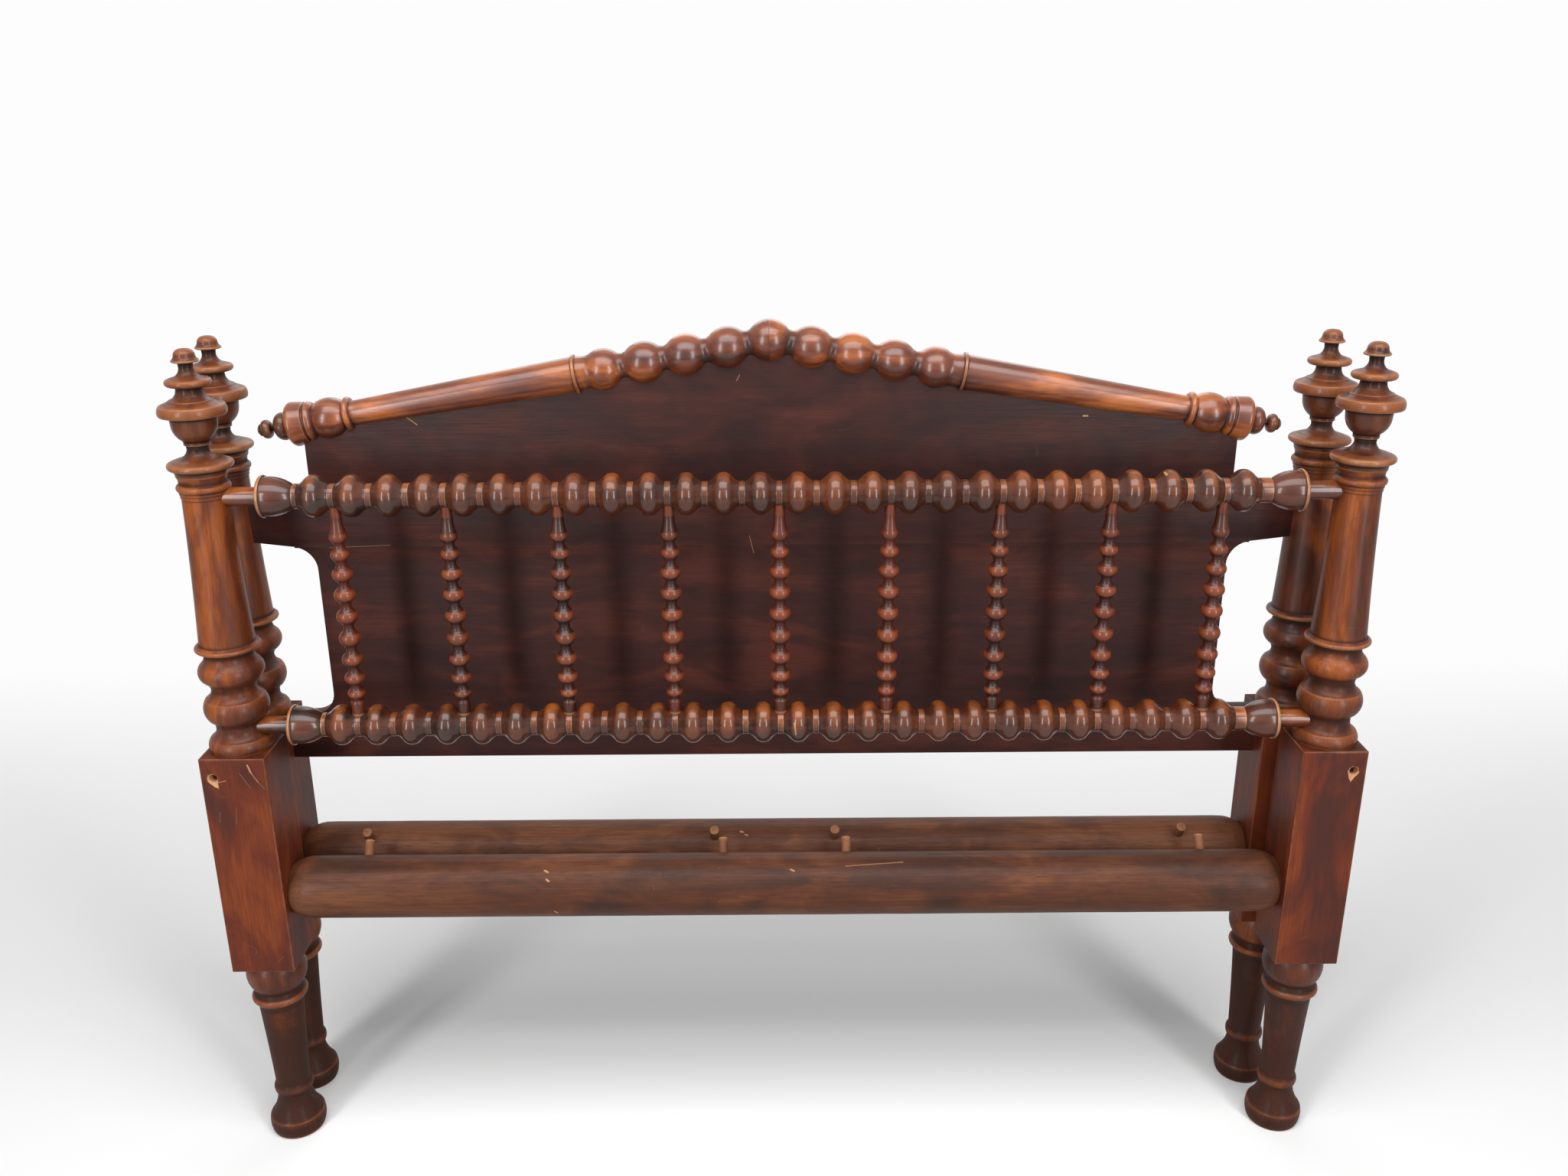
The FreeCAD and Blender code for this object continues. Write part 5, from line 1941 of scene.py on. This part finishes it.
    def build(self, shop: Workshop, finishes: Finishes) -> None:
        """Builds both boards and hands them over.

        Args:
            shop: the workshop.
            finishes: the materials.
        """
        for node, outline, tone in (
            ("head_panel_upper_board", self.upper_outline(), self.tones[0]),
            ("head_panel_lower_board", self.lower_outline(), self.tones[1]),
        ):
            board = self.board(f"{node}_sawn", outline, finishes["panel_wood"], shop)
            shop.finished(board, HEAD, [node], tone)


@dataclass
class Crest:
    """The peaked, beaded crest: two turned halves mitred together, with turned tips."""

    height: float = CREST_HEIGHT
    rise: float = CREST_RISE
    shift: float = CREST_SHIFT
    pitch: float = 50.8
    beads: int = 5
    bead: float = 25.2
    valley: float = 15.4
    length: float = 591.0
    mitre_gap: float = 0.15
    # Tones of the left and right halves, which their tips take too, so the left tip is darker and the right
    # one lighter: a painted shade and a painted light.
    tones: tuple[float, float] = (0.38, 0.66)

    def outline(self) -> Outline:
        """Out along a half: beads, ring, long taper, ring, bulge and stepped drum.

        Returns:
            The outline.
        """
        bead, valley, pitch, end = self.bead, self.valley, self.pitch, self.length
        half = pitch / 2
        flank, shoulder, cheek = 18.0, bead - 6.3, (21.5, valley + 1.0)
        steps: list[Step] = [(-half, valley)]
        for number in range(self.beads):
            middle = pitch * number
            steps.append((middle - cheek[0], cheek[1], middle - flank, shoulder))
            if number < self.beads - 1:
                steps.append((middle, bead, middle + flank, shoulder))
                steps.append((middle + cheek[0], cheek[1], middle + half, valley))
        last = pitch * (self.beads - 1)
        steps += [
            (last, bead, last + 13, bead - 3.9),
            (last + 17, bead - 5.1, last + 21, bead - 5.2),
            (last + 30.5, bead - 4.2),
            (last + 31, bead - 1.2),
            (last + 34.2, bead - 1.2),
            (last + 35, bead - 3.5),
            (end - 83, valley + 0.6),
            (end - 78, valley + 1),
            (end - 74, bead - 3.5, end - 70, valley + 1.8),
            (end - 50, bead - 0.3, end - 32.5, valley + 4.2),
            (end - 29.5, bead - 2, end - 25, bead - 1),
            (end - 24, bead - 2.4),
            (end - 22, bead - 2.4),
            (end - 21, bead - 0.4),
            (end - 7, bead + 1.8),
            (end - 2, bead + 0.3, end, bead - 4.2),
            (end, 0),
        ]
        return Outline.traced((-half, 0), steps)

    def tip_outline(self) -> Outline:
        """A tip: ball, thin neck and ridged button.

        Returns:
            The outline.
        """
        end = self.length
        return Outline.traced((end + 0.1, 0), [
            (end + 0.1, 11.5),
            (end + 9, 17.1, end + 18.6, 6.5),
            (end + 20.4, 3.3),
            (end + 23.6, 3.3),
            (end + 24.6, 8),
            (end + 29, 11.6, end + 34, 10.2),
            (end + 34.5, 8),
            (end + 37.8, 7.4),
            (end + 40.5, 4),
            (end + 40.5, 0),
        ], ease=0.3)

    def mitre(self, half: bpy.types.Object, side: Side) -> None:
        """Trims a half to the upright plane through the peak and closes it.

        Args:
            half: the turned half, in its place.
            side: which half it is.
        """
        x, y = end_centre(HEAD)
        form = bmesh.new()
        form.from_mesh(half.data)
        cut = bmesh.ops.bisect_plane(
            form, geom=form.verts[:] + form.edges[:] + form.faces[:], dist=1e-6,
            plane_co=Vector((x + self.shift + self.mitre_gap * side.value, y, self.height)) * MM,
            plane_no=(-side.value, 0, 0), clear_outer=True)
        edges = [item for item in cut["geom_cut"] if isinstance(item, bmesh.types.BMEdge)]
        bmesh.ops.contextual_create(form, geom=edges)
        bmesh.ops.recalc_face_normals(form, faces=form.faces[:])
        form.to_mesh(half.data)
        form.free()

    def build(self, shop: Workshop, finishes: Finishes) -> None:
        """Builds both halves and tips and hands them over.

        Args:
            shop: the workshop.
            finishes: the materials.
        """
        x, y = end_centre(HEAD)
        at = (x + self.shift, y, self.height)
        for side, tone in zip((Side.LEFT, Side.RIGHT), self.tones):
            slope = Matrix.Rotation(math.atan(self.rise), 4, "Y")
            place = slope if side is Side.RIGHT else Matrix.Rotation(math.pi, 4, "Z") @ slope
            node = f"head_crest_rail_{side.word}"
            half = shop.turned(f"{node}_turned", self.outline(), finishes["crest_wood"], Lay.ACROSS,
                               at=at, sides=64, place=place)
            self.mitre(half, side)
            shop.finished(half, HEAD, [node], tone)
            node = f"head_crest_tip_{side.word}"
            tip = shop.turned(f"{node}_turned", self.tip_outline(), finishes["tip_wood"], Lay.ACROSS,
                              at=at, sides=40, place=place)
            shop.finished(tip, HEAD, [node], tone)


# -------------------------------------------------------------------------------- studio


@dataclass
class Studio:
    """Floor, backdrop, lamps, world and camera."""

    lens: float = 30.572
    pitch: float = 19.083
    yaw: float = 0.198
    roll: float = -0.305
    eye: Place = (2.2, -1550.0, 1296.1)
    lamp_side: float = 1.95
    lamp_back: float = 2.75
    lamp_height: float = 1.45
    lamp_power: float = 60.0
    above_power: float = 90.0
    behind_power: float = 16.0
    world_strength: float = 0.15
    world_shown: float = 0.8
    floor_seen: Colour = (0.84, 0.84, 0.84)
    floor_lighting: Colour = (0.25, 0.25, 0.25)
    backdrop_strength: float = 0.98
    backdrop_from: float = 0.1
    backdrop_to: float = 1.7

    def camera(self) -> None:
        """Puts the camera where the photograph was taken."""
        def turn(axis: str, degrees: float) -> Matrix:
            """A turn about an axis."""
            return Matrix.Rotation(math.radians(degrees), 3, axis)

        upright = Matrix(((1, 0, 0), (0, 0, -1), (0, 1, 0)))
        axes = turn("Z", self.roll) @ turn("X", self.pitch) @ upright @ turn("Z", self.yaw)
        world = Matrix((axes[0], -axes[1], -axes[2])).transposed().to_4x4()
        data = bpy.data.cameras.new("view")
        data.lens = self.lens
        data.sensor_width = 36.0
        camera = bpy.data.objects.new("view", data)
        camera.matrix_world = Matrix.Translation(Vector(self.eye) * MM) @ world
        bpy.context.scene.collection.objects.link(camera)
        bpy.context.scene.camera = camera

    def lamps(self) -> None:
        """A tall soft lamp at each side of the camera and a wide one overhead."""
        for side in Side:
            self.lamp(f"lamp_{side.word}", (self.lamp_side * side.value, -self.lamp_back, self.lamp_height),
                      (0.0, 0.0, 1.1), (0.6, 2.4), self.lamp_power)
        self.lamp("lamp_above", (0.0, -1.1, 3.0), (0.0, 0.0, 0.9), (3.4, 1.5),
                  self.above_power)
        self.lamp("lamp_behind", (0.0, 2.3, 2.3), (0.0, 0.0, 0.6), (2.4, 1.2),
                  self.behind_power)

    @staticmethod
    def lamp(name: str, spot: Place, aim: Place, size: tuple[float, float], power: float) -> None:
        """An area lamp.

        Args:
            name: its name.
            spot: where it stands.
            aim: what it points at.
            size: its width and height.
            power: its power in watts.
        """
        data = bpy.data.lights.new(name, "AREA")
        data.shape = "RECTANGLE"
        data.size, data.size_y = size
        data.energy = power
        lamp = bpy.data.objects.new(name, data)
        lamp.location = spot
        lamp.visible_camera = False
        lamp.rotation_euler = (Vector(aim) - Vector(spot)).to_track_quat("-Z", "Y").to_euler()
        bpy.context.scene.collection.objects.link(lamp)

    def world(self) -> None:
        """A plain world, pale where it is seen."""
        world = bpy.data.worlds.new("room")
        world.use_nodes = True
        t = Tree(world.node_tree)
        ground = world.node_tree.nodes["Background"]
        ground.inputs["Color"].default_value = (1.0, 1.0, 1.0, 1.0)
        shown = t.maths("MULTIPLY", self.seen(t), self.world_shown - self.world_strength)
        t.feed(ground.inputs["Strength"], t.maths("ADD", shown, self.world_strength))
        bpy.context.scene.world = world

    @staticmethod
    def seen(t: Tree) -> bpy.types.NodeSocket:
        """1 for what the camera sees straight, in a reflection or through glass.

        Args:
            t: the tree that asks.

        Returns:
            The mask's socket.
        """
        path = t.add("ShaderNodeLightPath").outputs
        shown = t.maths("ADD", path["Is Camera Ray"], path["Is Glossy Ray"])
        return t.maths("ADD", shown, path["Is Transmission Ray"], clamp=True)

    def sweep(self) -> None:
        """The floor, curving up into a pale backdrop well behind the bed."""
        half, front, back, bend, top = 7.0, -6.0, 3.4, 0.8, 4.6
        profile = [(front, 0.0), (back - bend, 0.0)]
        profile += [(back - bend + bend * math.sin(a), bend - bend * math.cos(a))
                    for a in (math.pi / 2 * n / 16 for n in range(1, 17))]
        profile.append((back, top))
        points = [(x, y, z) for y, z in profile for x in (-half, half)]
        faces = [(2 * n, 2 * n + 1, 2 * n + 3, 2 * n + 2) for n in range(len(profile) - 1)]
        mesh = bpy.data.meshes.new("sweep")
        mesh.from_pydata(points, [], faces)
        mesh.shade_smooth()
        mesh.materials.append(self.pale())
        sweep = Workshop.link("sweep", mesh)

    def pale(self) -> bpy.types.Material:
        """Pale floor that turns into a white backdrop further back.

        Returns:
            The material.
        """
        made = bpy.data.materials.new("pale_sweep")
        made.use_nodes = True
        made.node_tree.nodes.clear()
        t = Tree(made.node_tree)
        seen = self.seen(t)
        floor = t.fed("ShaderNodeBsdfDiffuse", {
            "Color": WoodFinish.mixed(t, self.floor_lighting, self.floor_seen, seen)})
        glow = t.fed("ShaderNodeEmission", {
            "Color": (1.0, 1.0, 1.0, 1.0), "Strength": self.backdrop_strength})
        here = t.add("ShaderNodeTexCoord").outputs["Object"]
        depth = t.fed("ShaderNodeSeparateXYZ", {0: here}).outputs["Y"]
        far = t.ramp(depth, self.backdrop_from, self.backdrop_to)
        mix = t.fed("ShaderNodeMixShader", {
            0: t.maths("MULTIPLY", seen, far), 1: floor.outputs[0], 2: glow.outputs[0]})
        t.fed("ShaderNodeOutputMaterial", {"Surface": mix.outputs[0]})
        return made

    def build(self) -> None:
        """Builds the studio."""
        self.camera()
        self.lamps()
        self.world()
        self.sweep()
        bpy.context.scene.view_settings.view_transform = "Standard"


def main() -> None:
    """Builds the bed's looks and the studio round them."""
    logging.basicConfig(level=logging.INFO, format="%(message)s")
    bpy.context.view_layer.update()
    shop = Workshop()
    finishes = Finishes()
    parts = [
        Post(FOOT, Side.LEFT, tone=0.6), Post(FOOT, Side.RIGHT, tone=0.5),
        Post(HEAD, Side.LEFT, tone=0.36), Post(HEAD, Side.RIGHT, tone=0.42),
        Finial(FOOT, Side.LEFT, tone=0.5), Finial(FOOT, Side.RIGHT, tone=0.45),
        Finial(HEAD, Side.LEFT, tone=0.36), Finial(HEAD, Side.RIGHT, tone=0.42),
        BeadedRail("foot_top_beaded_rail", TOP_RAIL, tone=0.55),
        BeadedRail("foot_lower_beaded_rail", LOWER_RAIL, tone=0.42),
        SpindleRow(),
        CrossRail(FOOT, tone=0.45), CrossRail(HEAD, tone=1.0),
        HeadPanel(),
        Crest(),
    ]
    for part in parts:
        part.build(shop, finishes)
    Studio().build()
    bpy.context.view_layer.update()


if __name__ == "__main__":
    main()
